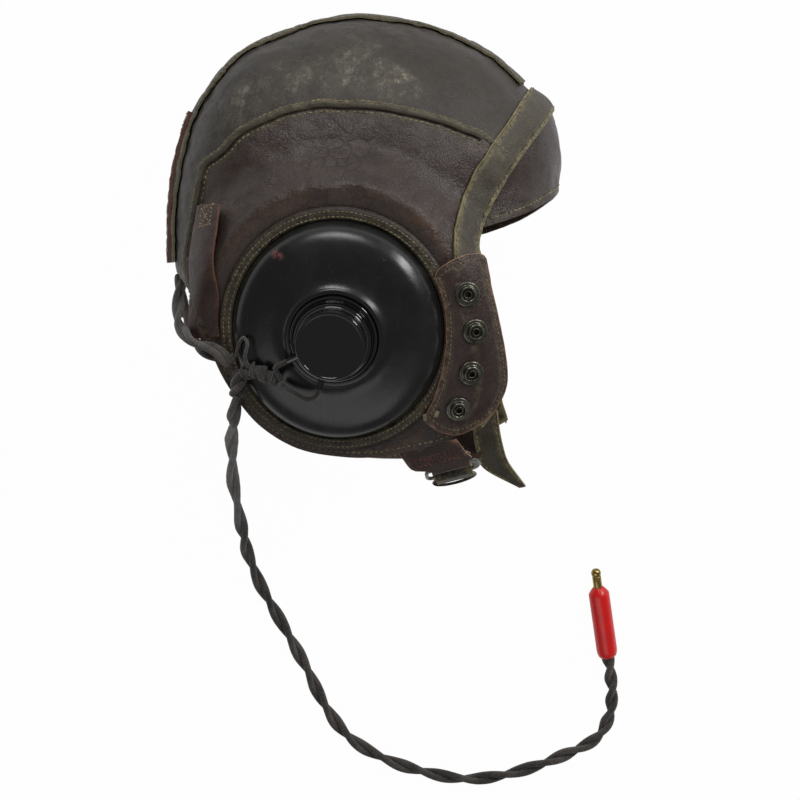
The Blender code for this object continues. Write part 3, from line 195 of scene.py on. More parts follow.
def walk(points):
    """How far along a line each of its points is."""
    return np.concatenate([[0.0], np.cumsum(np.linalg.norm(np.diff(points, axis=0), axis=1))])


# Nodes


class Wire:
    """A value in a material's nodes that can be written in sums."""

    def __init__(self, finish, socket):
        self.finish = finish
        self.socket = socket

    def maths(self, kind, *others):
        given = dict(enumerate((self, *others)))
        return Wire(self.finish, self.finish.node("ShaderNodeMath", {"operation": kind}, given).outputs[0])

    def __add__(self, other):
        return self.maths("ADD", other)

    def __sub__(self, other):
        return self.maths("SUBTRACT", other)

    def __rsub__(self, other):
        return self.maths("MULTIPLY", -1.0).maths("ADD", other)

    def __mul__(self, other):
        return self.maths("MULTIPLY", other)

    def step(self, low, high):
        """0 below one value and 1 above the other, with a smooth way between them."""
        given = {0: self, 1: low, 2: high}
        node = self.finish.node("ShaderNodeMapRange", {"interpolation_type": "SMOOTHSTEP"}, given)
        return Wire(self.finish, node.outputs[0])


def add_node(tree, kind, settings=None, given=None):
    """A new node with its settings, and with values or links in its sockets."""
    made = tree.nodes.new(kind)
    for name, value in (settings or {}).items():
        setattr(made, name, value)
    for name, value in (given or {}).items():
        socket = made.inputs[name]
        value = value.socket if isinstance(value, Wire) else value
        if isinstance(value, bpy.types.NodeSocket):
            tree.links.new(value, socket)
        elif isinstance(value, tuple) and len(value) == 3 and len(socket.default_value) == 4:
            socket.default_value = (*value, 1.0)
        else:
            socket.default_value = value
    return made


# Camera, lights and floor


def add_camera():
    camera = bpy.data.cameras.new("camera")
    camera.sensor_fit = "HORIZONTAL"
    camera.angle = 2 * math.atan(HALF_VIEW / CAMERA_PLACE[2])
    camera.clip_end = 30.0
    obj = bpy.data.objects.new("camera", camera)
    obj.location = to_world(CAMERA_PLACE)
    obj.rotation_euler = LEAN.to_euler()
    bpy.context.scene.collection.objects.link(obj)
    bpy.context.scene.camera = obj


def add_lights():
    bpy.context.scene.view_settings.view_transform = "Standard"
    for name, place, size, watts in LAMPS:
        light = bpy.data.lights.new(name, "AREA")
        light.shape = "RECTANGLE"
        light.size, light.size_y = size
        light.energy = watts
        obj = bpy.data.objects.new(name, light)
        obj.location = to_world(place)
        obj.rotation_euler = (to_world(LIT_SPOT) - to_world(place)).to_track_quat("-Z", "Y").to_euler()
        bpy.context.scene.collection.objects.link(obj)
    world = bpy.data.worlds.new("studio")
    bpy.context.scene.world = world
    world.use_nodes = True
    tree = world.node_tree
    tree.nodes.clear()
    soft = add_node(tree, "ShaderNodeBackground", None, {"Color": WHITE, "Strength": WORLD_LIGHT}).outputs[0]
    white = add_node(tree, "ShaderNodeBackground", None, {"Color": WHITE, "Strength": 1.0}).outputs[0]
    seen = add_node(tree, "ShaderNodeLightPath").outputs["Is Camera Ray"]
    mix = add_node(tree, "ShaderNodeMixShader", None, {0: seen, 1: soft, 2: white})
    add_node(tree, "ShaderNodeOutputWorld", None, {"Surface": mix.outputs[0]})


def add_floor():
    """A pale floor that the camera sees as white, and that keeps the object's shadow."""
    mesh = bpy.data.meshes.new("floor")
    corners = [(x * FLOOR_REACH, y * FLOOR_REACH, FLOOR_HEIGHT) for x, y in ((-1, -1), (1, -1), (1, 1), (-1, 1))]
    mesh.from_pydata(corners, [], [(0, 1, 2, 3)])
    floor = bpy.data.objects.new("floor", mesh)
    bpy.context.scene.collection.objects.link(floor)
    made = bpy.data.materials.new("pale_floor")
    made.use_nodes = True
    tree = made.node_tree
    shader = tree.nodes["Principled BSDF"]
    shader.inputs["Base Color"].default_value = (0.86, 0.86, 0.86, 1.0)
    shader.inputs["Roughness"].default_value = 0.8
    glow = add_node(tree, "ShaderNodeEmission", None, {"Strength": 1.0}).outputs[0]
    rays = add_node(tree, "ShaderNodeLightPath").outputs
    seen = {0: rays["Is Camera Ray"], 1: rays["Is Transmission Ray"]}
    seen = add_node(tree, "ShaderNodeMath", {"operation": "ADD"}, seen).outputs[0]
    # The floor also glows at about half strength for every ray but the camera's and transmission's, which adds soft
    # light from below.
    total = {0: seen, 1: FLOOR_BOUNCE_GLOW}
    total = add_node(tree, "ShaderNodeMath", {"operation": "ADD", "use_clamp": True}, total).outputs[0]
    share = add_node(tree, "ShaderNodeMath", {"operation": "MULTIPLY"}, {0: total, 1: FLOOR_GLOW}).outputs[0]
    mix = add_node(tree, "ShaderNodeMixShader", None, {0: share, 1: shader.outputs[0], 2: glow})
    tree.links.new(mix.outputs[0], tree.nodes["Material Output"].inputs["Surface"])
    floor.data.materials.append(made)


# The form of the head


def outline_reach(degrees):
    """The outline's reach at each angle, on a smooth curve through its points."""
    table = np.array(OUTLINE)
    degrees = (np.asarray(degrees, float) - table[0, 0]) % 360.0 + table[0, 0]
    angles, reaches = np.concatenate([table[-2:] - [360.0, 0.0], table, table[:2] + [360.0, 0.0]]).T
    i = np.clip(np.searchsorted(angles, degrees, side="right") - 1, 1, len(angles) - 3)
    span = angles[i + 1] - angles[i]
    t = (degrees - angles[i]) / span
    before = (reaches[i + 1] - reaches[i - 1]) / (angles[i + 1] - angles[i - 1]) * span
    after = (reaches[i + 2] - reaches[i]) / (angles[i + 2] - angles[i]) * span
    start = reaches[i] * (2 * t**3 - 3 * t**2 + 1) + before * (t**3 - 2 * t**2 + t)
    return start + reaches[i + 1] * (3 * t**2 - 2 * t**3) + after * (t**3 - t**2)


def ear_frame():
    out = Vector((-math.sin(math.radians(EAR_BACK)), -math.sin(math.radians(EAR_DOWN)), 0.0))
    out.z = math.sqrt(1.0 - out.length_squared)
    forward = unit(Vector((1.0, 0.0, 0.0)) - out * out.x)
    centre = Vector((EAR_CENTRE[0] * CROWN, EAR_CENTRE[1] * CROWN, EAR_SEAT))
    return centre, forward, out.cross(forward), out


EAR, FORWARD, UP, OUT = ear_frame()


def ear_place(place):
    return EAR + FORWARD * place[0] + UP * place[1] + OUT * place[2]


def ear_distance(x, y):
    """1 on the ear ring's outer edge, growing outwards."""
    return np.hypot((x - EAR.x) / (DOME_WIDE + RING_REACH), (y - EAR.y) / (DOME_HIGH + RING_REACH))


def form_point(flat):
    """Places on the right half of the head form, from the flat map of it."""
    turn = np.hypot(flat[:, 0], flat[:, 1])
    degrees = np.degrees(np.arctan2(flat[:, 1], flat[:, 0]))
    reach = np.sin(turn) * outline_reach(degrees) * CROWN
    x = reach * np.cos(np.radians(degrees))
    y = reach * np.sin(np.radians(degrees))
    z = HALF_WIDTH * np.abs(np.cos(turn)) * (1.0 + FULLNESS * np.sin(turn) ** 2)
    seat = EAR.z - (OUT.x * (x - EAR.x) + OUT.y * (y - EAR.y)) / OUT.z
    near = 1.0 - smoothstep((ear_distance(x, y) - 1.02) / 0.48)
    z = (z + near * (seat - z)) * np.where(turn > math.pi / 2, -1.0, 1.0)
    return np.stack([x, y, z], axis=1)


def form_slopes(flat):
    step = 0.002
    east = form_point(flat + [step, 0.0]) - form_point(flat - [step, 0.0])
    north = form_point(flat + [0.0, step]) - form_point(flat - [0.0, step])
    return east / (2 * step), north / (2 * step)


def form_normal(flat):
    normal = np.cross(*form_slopes(flat))
    return normal / np.linalg.norm(normal, axis=1, keepdims=True)


def flat_point(share):
    """The flat map's place for a side-view place."""
    angle = math.atan2(share[1], share[0])
    turn = math.asin(min(math.hypot(*share) / float(outline_reach(math.degrees(angle))), 0.9999))
    return (turn * math.cos(angle), turn * math.sin(angle))


def flat_points(shares):
    return [flat_point(share) for share in shares]


def flat_middle(degrees):
    return (math.pi / 2 * math.cos(math.radians(degrees)), math.pi / 2 * math.sin(math.radians(degrees)))


def flat_left(points):
    """The same places on the left half."""
    shares = [(math.pi - math.hypot(*point)) / math.hypot(*point) for point in points]
    return [(point[0] * share, point[1] * share) for point, share in zip(points, shares)]


def smooth(points, steps):
    """Points along a smooth open curve, which passes through each given point."""
    points = [np.array(point, float) for point in points]
    points = [2 * points[0] - points[1], *points, 2 * points[-1] - points[-2]]
    made = []
    for a, b, c, d in zip(points, points[1:], points[2:], points[3:]):
        for step in range(steps):
            t = step / steps
            made.append(b + ((c - a) * t + (2 * a - 5 * b + 4 * c - d) * t**2 + (3 * b - a - 3 * c + d) * t**3) / 2)
    made.append(points[-2])
    return made


def evenly(points, count):
    points = np.array(points)
    walked = walk(points)
    places = np.linspace(0.0, walked[-1], count)
    return np.stack([np.interp(places, walked, column) for column in points.T], axis=1)


def fractal(points, scale, octaves, seed):
    """Soft noise between about -1 and 1 at each point, for creases and dents."""
    shift = Vector((17.3 * seed, 5.1 * seed, 9.7 * seed))
    return np.array([noise.fractal(Vector(p) * scale + shift, 0.9, 2.1, octaves) for p in points])


def relief(points):
    """How far the soft leather stands off the plain form: dents, a roll round the ear, creases."""
    x, y, _ = points.T
    reach = ear_distance(x, y)
    away = smoothstep((reach - 1.0) / 0.14)
    below = smoothstep((0.02 - (y - EAR.y)) / 0.05)
    front = smoothstep((x - 0.040) / 0.02)
    brow = smoothstep((x - 0.085) / 0.02)
    calm = 1.0 - 0.75 * front * smoothstep((-0.02 - y) / 0.03)
    dents = DENT * fractal(points, 24.0, 2, 3)
    crease = -CREASE * (1.0 - np.abs(fractal(points * [1.0, 1.35, 1.0], 62.0, 3, 8))) ** 5
    roll = ROLL * np.exp(-(((reach - ROLL_AT) / ROLL_WIDTH) ** 2)) * (1.0 - 0.55 * below) * (1.0 - 0.8 * front)
    return (away * calm * (dents + crease * (1.0 - 0.5 * brow)) + roll) * smoothstep((0.160 + y) / 0.05)


def pressed(points, offsets):
    """The leather stays above the floor where the helmet lies on it."""
    up = TURN[2]
    short = WELT[1] - offsets - (points @ up + PLACE.z)
    lift = (short + np.sqrt(short**2 + SETTLE**2)) / 2
    return points + np.where(short > -SETTLE_DEEP, lift, 0.0)[:, None] * up


def on_form(flat, offsets, side=RIGHT, rough=1.0):
    flat = np.array(flat, float)
    offsets = np.broadcast_to(np.asarray(offsets, float), len(flat))
    base = form_point(flat)
    extra = relief(mirrored(base, side)) * rough
    return pressed(mirrored(base + form_normal(flat) * (offsets + extra)[:, None], side), offsets)


# Meshes


def add_mesh(name, points, faces, finish, angle=40.0, side=RIGHT):
    """A mesh at its place on the floor, with its faces pointing out."""
    points = mirrored(rows_of(points), side) @ TURN.T + np.array(PLACE)
    mesh = bpy.data.meshes.new(name)
    mesh.from_pydata(points.tolist(), [], faces)
    shape = bmesh.new()
    shape.from_mesh(mesh)
    bmesh.ops.recalc_face_normals(shape, faces=shape.faces)
    shape.to_mesh(mesh)
    shape.free()
    mesh.shade_smooth()
    mesh.set_sharp_from_angle(angle=math.radians(angle))
    mesh.materials.append(finish)
    obj = bpy.data.objects.new(name, mesh)
    bpy.context.scene.collection.objects.link(obj)
    return obj


def set_values(obj, name, values):
    kept = obj.data.attributes.new(name, "FLOAT", "POINT")
    kept.data.foreach_set("value", np.asarray(values, np.float32))


def set_vectors(mesh, name, vectors):
    kept = mesh.attributes.new(name, "FLOAT_VECTOR", "POINT")
    kept.data.foreach_set("vector", np.array(vectors, np.float32).ravel())


def keep(obj, slot, *nodes):
    """Says what a finished piece rides on and hides the solids that it stands for; the slot, meant to say what it is
    made of, is not used.
    """
    if nodes:
        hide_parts(*nodes)
    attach(obj, "helmet")
    return obj


def inside(points, loops):
    """Which flat points lie in the first closed loop and in none of the others."""
    found = []
    for loop in loops:
        odd = np.zeros(len(points), bool)
        for (ax, ay), (bx, by) in zip(loop, loop[1:] + loop[:1]):
            crosses = (ay > points[:, 1]) != (by > points[:, 1])
            if crosses.any():
                odd ^= crosses & (points[:, 0] < (bx - ax) * (points[:, 1] - ay) / (by - ay) + ax)
        found.append(odd)
    return found[0] & ~np.any(found[1:], axis=0) if found[1:] else found[0]


def inset(outline, distance):
    outline = [tuple(point) for point in outline]
    area = sum(a[0] * b[1] - b[0] * a[1] for a, b in zip(outline, outline[1:] + outline[:1])) / 2
    turn = math.copysign(distance, area)
    made = []
    for before, here, after in zip(outline[-1:] + outline[:-1], outline, outline[1:] + outline[:1]):
        along = np.array(after) - np.array(before)
        along = along / np.linalg.norm(along)
        made.append((here[0] - along[1] * turn, here[1] + along[0] * turn))
    return made


def search_tree(samples):
    tree = KDTree(len(samples))
    for k, place in enumerate(samples):
        tree.insert(place, k)
    tree.balance()
    return tree


def fill(outline, holes, step):
    """Triangles over a flat outline, finely and evenly spaced."""
    loops = []
    for loop in (outline, *holes):
        closed = np.array([*loop, loop[0]])
        count = max(int(np.linalg.norm(np.diff(closed, axis=0), axis=1).sum() / (0.8 * step)), 12)
        loops.append([tuple(p) for p in evenly(closed, count + 1)[:-1]])
    border = np.array([point for loop in loops for point in loop])
    edges, first = [], 0
    for loop in loops:
        edges += [(first + k, first + (k + 1) % len(loop)) for k in range(len(loop))]
        first += len(loop)
    low, high = border.min(axis=0), border.max(axis=0)
    grid = []
    for k, y in enumerate(np.arange(low[1] + step / 2, high[1], step * math.sqrt(3) / 2)):
        row = np.arange(low[0] + step / 2 * (1 + k % 2), high[0], step)
        grid.append(np.stack([row, np.full_like(row, y)], axis=1))
    grid = np.concatenate(grid)
    grid = grid[inside(grid, loops)]
    tree = search_tree([(*point, 0.0) for point in border])
    grid = np.array([p for p in grid if tree.find((*p, 0.0))[2] > 0.6 * step]).reshape(-1, 2)
    every = np.concatenate([border, grid])
    filled = delaunay_2d_cdt([Vector(point) for point in every], edges, [], 0, 1e-7)
    places, faces = rows_of(filled[0]), rows_of(filled[2])
    good = inside(places[faces].mean(axis=1), loops)
    return places, [tuple(face) for face in faces[good].tolist()]


def two_skins(count, faces):
    """Faces of a lower and an upper skin that are joined round their rim, and the rim's points."""
    used = {(a, b) for face in faces for a, b in zip(face, face[1:] + face[:1])}
    rim = [(a, b) for (a, b) in used if (b, a) not in used]
    upper = [tuple(k + count for k in face) for face in faces]
    lower = [tuple(reversed(face)) for face in faces]
    return upper + lower + [(a, b, b + count, a + count) for a, b in rim], sorted({k for pair in rim for k in pair})


def distances(points, samples):
    """How far each point is from the nearest of the samples, in millimetres."""
    tree = search_tree(samples)
    return np.array([min(tree.find(p)[2] * 1000.0, 99.0) for p in points])


def grid_faces(rows, columns):
    corners = [i * columns + j for i in range(rows - 1) for j in range(columns - 1)]
    return [(a, a + columns, a + columns + 1, a + 1) for a in corners]


def ring_faces(rings, count, closed=True):
    """Faces round a row of rings, which closes on itself or ends in two flat caps."""
    made = []
    for i in range(rings if closed else rings - 1):
        for j in range(count):
            a, b = i * count + j, i * count + (j + 1) % count
            c, d = (i + 1) % rings * count + (j + 1) % count, (i + 1) % rings * count + j
            made.append((a, b, c, d))
    if not closed:
        made += [tuple(range(count)), tuple(range((rings - 1) * count, rings * count))]
    return made


def across_form(path, reaches):
    """Flat points at distances to the side of a path, measured along the leather."""
    path = np.array(path)
    sideways = np.cross(form_normal(path), np.gradient(form_point(path), axis=0))
    sideways /= np.linalg.norm(sideways, axis=1, keepdims=True)
    slopes = np.stack(form_slopes(path), axis=2)
    made = []
    for k, point in enumerate(path):
        turn = np.linalg.pinv(slopes[k]) @ sideways[k]
        made += [point + turn * reach for reach in reaches[k]]
    return np.array(made)


def beside(path, reach):
    """A flat path that runs beside another at a distance along the leather."""
    return across_form(path, [[reach]] * len(path))


# Stitching

STITCHES = {}
THREADS = (
    ("olive_stitching", "thread", "leather_olive", 0.0033, 0.0028, 0.00095),
    ("ring_stitching", "thread", "leather_olive", 0.0027, 0.0030, 0.0009),
    ("tan_stitching", "tan_thread", "leather_red", 0.0021, 0.0018, 0.0008),
    ("patch_stitching", "patch_thread", "leather_red", 0.0027, 0.0023, 0.00075),
    ("rust_stitching", "dark_thread", "leather_red", 0.0026, 0.0028, 0.00090),
)


def place_row(thread, points, normals):
    STITCHES.setdefault(thread, []).append((rows_of(points), rows_of(normals)))


def stitch_tree():
    """Resamples each row and lays one slanting stitch on every point of it."""
    tree = bpy.data.node_groups.new("stitching", "GeometryNodeTree")
    face = tree.interface
    face.new_socket("Rows", in_out="INPUT", socket_type="NodeSocketGeometry")
    for name, value in (("Spacing", 0.0030), ("Length", 0.0024), ("Thickness", 0.0006), ("Slant", 0.14)):
        face.new_socket(name, in_out="INPUT", socket_type="NodeSocketFloat").default_value = value
    face.new_socket("Seed", in_out="INPUT", socket_type="NodeSocketInt").default_value = 4
    face.new_socket("Thread", in_out="INPUT", socket_type="NodeSocketMaterial")
    face.new_socket("Stitches", in_out="OUTPUT", socket_type="NodeSocketGeometry")

    def add(kind, given=None, settings=None):
        return add_node(tree, kind, settings, given).outputs

    def maths(kind, *values):
        return add("ShaderNodeMath", dict(enumerate(values)), {"operation": kind})[0]

    given = add("NodeGroupInput")
    curve = add("GeometryNodeMeshToCurve", {"Mesh": given["Rows"]})["Curve"]
    spaced = {"Curve": curve, "Length": given["Spacing"]}
    spaced = add("GeometryNodeResampleCurve", spaced, {"mode": "LENGTH"})["Curve"]
    outward = add("GeometryNodeInputNamedAttribute", {"Name": "out"}, {"data_type": "FLOAT_VECTOR"})["Attribute"]
    along = {"Vector": add("GeometryNodeInputTangent")["Tangent"]}
    along = add("FunctionNodeAlignEulerToVector", along, {"axis": "X"})["Rotation"]
    upright = {"Rotation": along, "Vector": outward}
    upright = add("FunctionNodeAlignEulerToVector", upright, {"axis": "Z", "pivot_axis": "X"})["Rotation"]
    slant = add("ShaderNodeCombineXYZ", {"Z": given["Slant"]})["Vector"]
    lean = add("FunctionNodeRotateEuler", {"Rotation": upright, "Rotate By": slant}, {"space": "LOCAL"})["Rotation"]
    # One stitch: a short bead that tapers to its ends and arches between them
    bead = {"Vertices": 6, "Side Segments": 4, "Radius": 0.5, "Depth": 1.0}
    bead = add("GeometryNodeMeshCylinder", bead)["Mesh"]
    x, y, z = add("ShaderNodeSeparateXYZ", {"Vector": add("GeometryNodeInputPosition")["Position"]})
    square = maths("MULTIPLY", z, z)
    taper = maths("MULTIPLY_ADD", square, -2.6, 1.0)
    arch = maths("MULTIPLY_ADD", square, -2.4, maths("MULTIPLY", x, taper))
    bent = add("ShaderNodeCombineXYZ", {"X": z, "Y": maths("MULTIPLY", y, taper), "Z": arch})["Vector"]
    bend = add("GeometryNodeSetPosition", {"Geometry": bead, "Position": bent})["Geometry"]
    size = {"X": given["Length"], "Y": given["Thickness"], "Z": given["Thickness"]}
    size = add("ShaderNodeCombineXYZ", size)["Vector"]
    random = {"Min": 0.82, "Max": 1.12, "Seed": given["Seed"]}
    random = add("FunctionNodeRandomValue", random, {"data_type": "FLOAT"})
    random = next(s for s in random if s.enabled and s.type == "VALUE")
    grown = add("ShaderNodeVectorMath", {0: size, "Scale": random}, {"operation": "SCALE"})["Vector"]
    laid = {"Points": spaced, "Instance": bend, "Rotation": lean, "Scale": grown}
    laid = add("GeometryNodeInstanceOnPoints", laid)["Instances"]
    real = add("GeometryNodeRealizeInstances", {"Geometry": laid})["Geometry"]
    dressed = add("GeometryNodeSetMaterial", {"Geometry": real, "Material": given["Thread"]})["Geometry"]
    add("NodeGroupOutput", {"Stitches": dressed})
    return tree


def sew(thread, finish, slot, spacing, length, thickness):
    """Turns a thread's rows into one plain mesh of stitches."""
    points, normals, edges = [], [], []
    for row, outs in STITCHES[thread]:
        edges += [(len(points) + k, len(points) + k + 1) for k in range(len(row) - 1)]
        points += (row @ TURN.T + np.array(PLACE)).tolist()
        normals += (outs @ TURN.T).tolist()
    mesh = bpy.data.meshes.new(thread + "_rows")
    mesh.from_pydata(points, edges, [])
    set_vectors(mesh, "out", normals)
    rows = bpy.data.objects.new(thread + "_rows", mesh)
    bpy.context.scene.collection.objects.link(rows)
    tree = stitch_tree()
    maker = rows.modifiers.new("stitching", "NODES")
    maker.node_group = tree
    ids = {item.name: item.identifier for item in tree.interface.items_tree if item.item_type == "SOCKET"}
    values = {"Spacing": spacing, "Length": length, "Thickness": thickness, "Thread": finish}
    for name, value in values.items():
        maker[ids[name]] = value
    shown = rows.evaluated_get(bpy.context.evaluated_depsgraph_get())
    made = bpy.data.meshes.new_from_object(shown)
    made.shade_smooth()
    rows.modifiers.clear()
    bpy.data.objects.remove(rows)
    obj = bpy.data.objects.new(thread, made)
    bpy.context.scene.collection.objects.link(obj)
    keep(obj, slot)


# Finishes


def darker(share, colour):
    return tuple(share * part for part in colour)


class Finish:
    """A procedural material: its nodes are fed by place, noise and the piece's own values."""

    def __init__(self, name, roughness, metallic=0.0, coat=0.0, sheen=0.0, specular=0.5):
        self.made = bpy.data.materials.new(name)
        self.made.use_nodes = True
        self.tree = self.made.node_tree
        self.shader = self.tree.nodes["Principled BSDF"]
        values = {
            "Roughness": roughness, "Metallic": metallic, "Coat Weight": coat, "Coat Roughness": 0.06,
            "Sheen Weight": sheen, "Specular IOR Level": specular,
        }
        for socket, value in values.items():
            self.shader.inputs[socket].default_value = value
        self.at = self.node("ShaderNodeTexCoord").outputs["Object"]

    def node(self, kind, settings=None, given=None):
        return add_node(self.tree, kind, settings, given)

    def noise(self, scale, detail=4.0, rough=0.6, warp=0.0, at=None):
        given = {"Vector": self.at if at is None else at, "Scale": scale}
        given.update({"Detail": detail, "Roughness": rough, "Distortion": warp})
        return Wire(self, self.node("ShaderNodeTexNoise", None, given).outputs[0])

    def cells(self, scale, feature="F1", at=None):
        given = {"Vector": self.at if at is None else at, "Scale": scale}
        made = self.node("ShaderNodeTexVoronoi", {"feature": feature}, given)
        return Wire(self, made.outputs["Distance"])

    def warped(self, scale, amount):
        """The place, pushed about by a noise."""
        push = self.node("ShaderNodeTexNoise", None, {"Vector": self.at, "Scale": scale, "Detail": 3.0})
        sized = {0: push.outputs["Color"], "Scale": amount}
        sized = self.node("ShaderNodeVectorMath", {"operation": "SCALE"}, sized).outputs[0]
        return self.node("ShaderNodeVectorMath", {"operation": "ADD"}, {0: self.at, 1: sized}).outputs[0]

    def stretched(self, turn, sizes):
        """The place, turned and stretched."""
        given = {"Vector": self.at, "Rotation": turn, "Scale": sizes}
        return self.node("ShaderNodeMapping", None, given).outputs[0]

    def own(self, name):
        return Wire(self, self.node("ShaderNodeAttribute", {"attribute_name": name}).outputs["Fac"])

    def own_vector(self, name):
        vector = self.node("ShaderNodeAttribute", {"attribute_name": name}).outputs["Vector"]
        parts = self.node("ShaderNodeSeparateXYZ", None, {0: vector})
        return [Wire(self, part) for part in parts.outputs]

    def near(self, place, low, high):
        """1 around a place in the head's frame, falling to 0 between two distances."""
        given = {0: self.at, 1: tuple(to_world(place))}
        gone = self.node("ShaderNodeVectorMath", {"operation": "DISTANCE"}, given).outputs["Value"]
        return 1.0 - Wire(self, gone).step(low, high)

    def mix(self, share, a, b):
        return self.node("ShaderNodeMix", {"data_type": "RGBA"}, {0: share, 6: a, 7: b}).outputs[2]

    def dress(self, colour, rough=None, heights=None):
        """Sets what changes over the surface: its colour, roughness, and bumps in millimetres."""
        given = {"Base Color": colour, "Roughness": rough}
        if heights is not None:
            given["Normal"] = self.node("ShaderNodeBump", None, {"Height": heights, "Distance": 0.001}).outputs[0]
        for name, value in given.items():
            if value is not None:
                self.tree.links.new(value.socket if isinstance(value, Wire) else value, self.shader.inputs[name])
        return self.made


def leather(name, dark, light, worn, raw, shine, wear, crease, dust, scuffs=(), tan=None, fray=0.4):
    """Old leather: clouds of colour, pebbled grain, creases and fine wrinkles darkened with painted shade, scuffs, worn
    seams and raw edges.
    """
    m = Finish(name, shine, specular=0.36)
    cloud = m.noise(13.0, 5.0, 0.60).step(0.26, 0.74)
    mottle = m.noise(85.0, 7.0, 0.72).step(0.34, 0.68)
    speck = m.noise(620.0, 4.0, 0.75).step(0.58, 0.72)
    folds = m.cells(95.0, "DISTANCE_TO_EDGE", m.warped(60.0, 0.018)).step(0.0, 0.14)
    fold_here = m.noise(18.0, 3.0, 0.6).step(0.46, 0.64)
    fold = (1.0 - folds) * fold_here
    small = m.cells(520.0, "DISTANCE_TO_EDGE", m.warped(210.0, 0.005)).step(0.0, 0.25)
    pebble = m.cells(1300.0)
    rub = m.noise(38.0, 10.0, 0.78, 0.4).step(0.57, 0.76)
    streaks = m.noise(150.0, 9.0, 0.78, 0.3, m.stretched((0.5, 0.2, 0.75), (1.0, 0.34, 1.0))).step(0.47, 0.66)
    blotch = m.noise(60.0, 5.0, 0.6, 0.8).step(0.46, 0.60)
    for place, reach in scuffs:
        here = m.near(place, 0.25 * reach, reach)
        rub = rub + here * (streaks * 0.8 + 0.2) * (blotch * 0.7 + 0.3) * (1.1 / wear)
    edge = m.own("edge_mm")
    seam = m.own("seam_mm")
    rim = 1.0 - edge.step(0.10, 0.42)
    brushed = (1.0 - edge.step(0.5, 3.2)) * m.noise(210.0, 6.0, 0.74).step(0.44, 0.64)
    groove = 1.0 - seam.step(0.3, 1.7)
    dusty = (1.0 - seam.step(0.6, 3.0)) * m.noise(260.0, 6.0, 0.72).step(0.40, 0.60)
    shade = m.mix(cloud * 0.5 + mottle * 0.5, dark, light)
    if tan:
        warm = m.noise(26.0, 7.0, 0.7, 0.5).step(0.56, 0.74)
        roll = 1.0 - (m.own("ear_mm") - 5.5).maths("ABSOLUTE").step(0.0, 6.0)
        roll = roll * m.noise(34.0, 7.0, 0.70, 0.5).step(0.38, 0.68)
        shade = m.mix((warm * 0.28 + roll * 0.50).maths("MINIMUM", 1.0), shade, tan)
    # Painted shade: the second and third colours darken the leather along its creases and in its fine wrinkles; the
    # others are wear, dust and raw edges.
    for share, colour in (
        ((rub * wear + speck * 0.20).maths("MINIMUM", 1.0), worn),
        (fold * crease * 0.5, darker(0.45, dark)),
        ((1.0 - small) * 0.34, darker(0.5, dark)),
        (dusty * 0.45, dust),
        (brushed * fray, raw),
        (rim * 0.8, raw),
    ):
        shade = m.mix(share, shade, colour)
    rough = rub * 0.22 * wear + mottle * 0.14 + dusty * 0.2 + fold * 0.10 + (shine - 0.08)
    high = folds * fold_here * 0.20 * crease + small * 0.085 + pebble * -0.07 + m.noise(330.0, 6.0, 0.74) * 0.26
    return m.dress(shade, rough, high + groove * -0.36 + rim * -0.15 + m.noise(120.0, 4.0, 0.6) * 0.22 * crease)


def suede(name, dark, light):
    m = Finish(name, 0.92, sheen=0.35, specular=0.2)
    shade = m.mix(m.noise(24.0, 6.0, 0.7).step(0.35, 0.68), dark, light)
    shade = m.mix((1.0 - m.own("edge_mm").step(0.3, 3.0)) * 0.35, shade, dark)
    shade = m.mix(m.noise(900.0, 3.0, 0.7).step(0.52, 0.75) * 0.4, shade, darker(0.55, dark))
    return m.dress(shade, None, m.noise(700.0, 4.0, 0.8) * 0.14 + m.noise(60.0, 3.0, 0.6) * 0.5)


def rubber():
    """Moulded rubber: satin black with a bloom of dust, faint scratches and a red rub mark."""
    m = Finish("moulded_rubber", 0.3)
    bloom = m.noise(26.0, 6.0, 0.65).step(0.40, 0.72)
    spots = m.noise(300.0, 4.0, 0.75).step(0.66, 0.74)
    scratch = m.noise(60.0, 3.0, 0.6, at=m.stretched((0.4, 0.2, 0.9), (14.0, 0.7, 3.0))).step(0.66, 0.70)
    shade = m.mix(bloom * 0.6, (0.0045, 0.0045, 0.0044), (0.0120, 0.0120, 0.0115))
    shade = m.mix((spots * 0.30 + scratch * 0.10).maths("MINIMUM", 1.0), shade, (0.055, 0.055, 0.052))
    streak = m.noise(420.0, 6.0, 0.75, 0.6, m.stretched((0.0, 0.0, 0.9), (1.0, 0.16, 1.0))).step(0.44, 0.62)
    marks = m.near(ear_place((-0.0352, 0.0470, 0.0150)), 0.0010, 0.0042)
    marks = (marks + m.near(ear_place((-0.0318, 0.0455, 0.0165)), 0.0005, 0.0034)).maths("MINIMUM", 1.0)
    shade = m.mix(marks * (streak * 0.8 + 0.1), shade, (0.22, 0.075, 0.075))
    rough = bloom * 0.10 + spots * 0.20 + scratch * 0.10 + 0.24
    return m.dress(shade, rough, m.noise(55.0, 3.0, 0.5) * 0.22 + spots * 0.03 - scratch * 0.02)


def resin():
    m = Finish("moulded_resin", 0.1, coat=0.4)
    dust = m.noise(520.0, 4.0, 0.8).step(0.64, 0.76)
    shade = m.mix(dust * 0.35, (0.0035, 0.0035, 0.0035), (0.05, 0.05, 0.045))
    return m.dress(shade, m.noise(40.0, 4.0, 0.6) * 0.10 + dust * 0.25 + 0.05, m.noise(120.0, 3.0, 0.5) * 0.03)


def metal(name, bright, tarnish, roughness, amount, scale=180.0):
    m = Finish(name, roughness, 1.0)
    spots = m.noise(scale, 6.0, 0.7).step(0.38, 0.66)
    heights = m.noise(900.0, 3.0, 0.6) * 0.012 + m.noise(300.0, 3.0, 0.6) * 0.02
    return m.dress(m.mix(spots * amount, bright, tarnish), spots * 0.22 + roughness, heights)


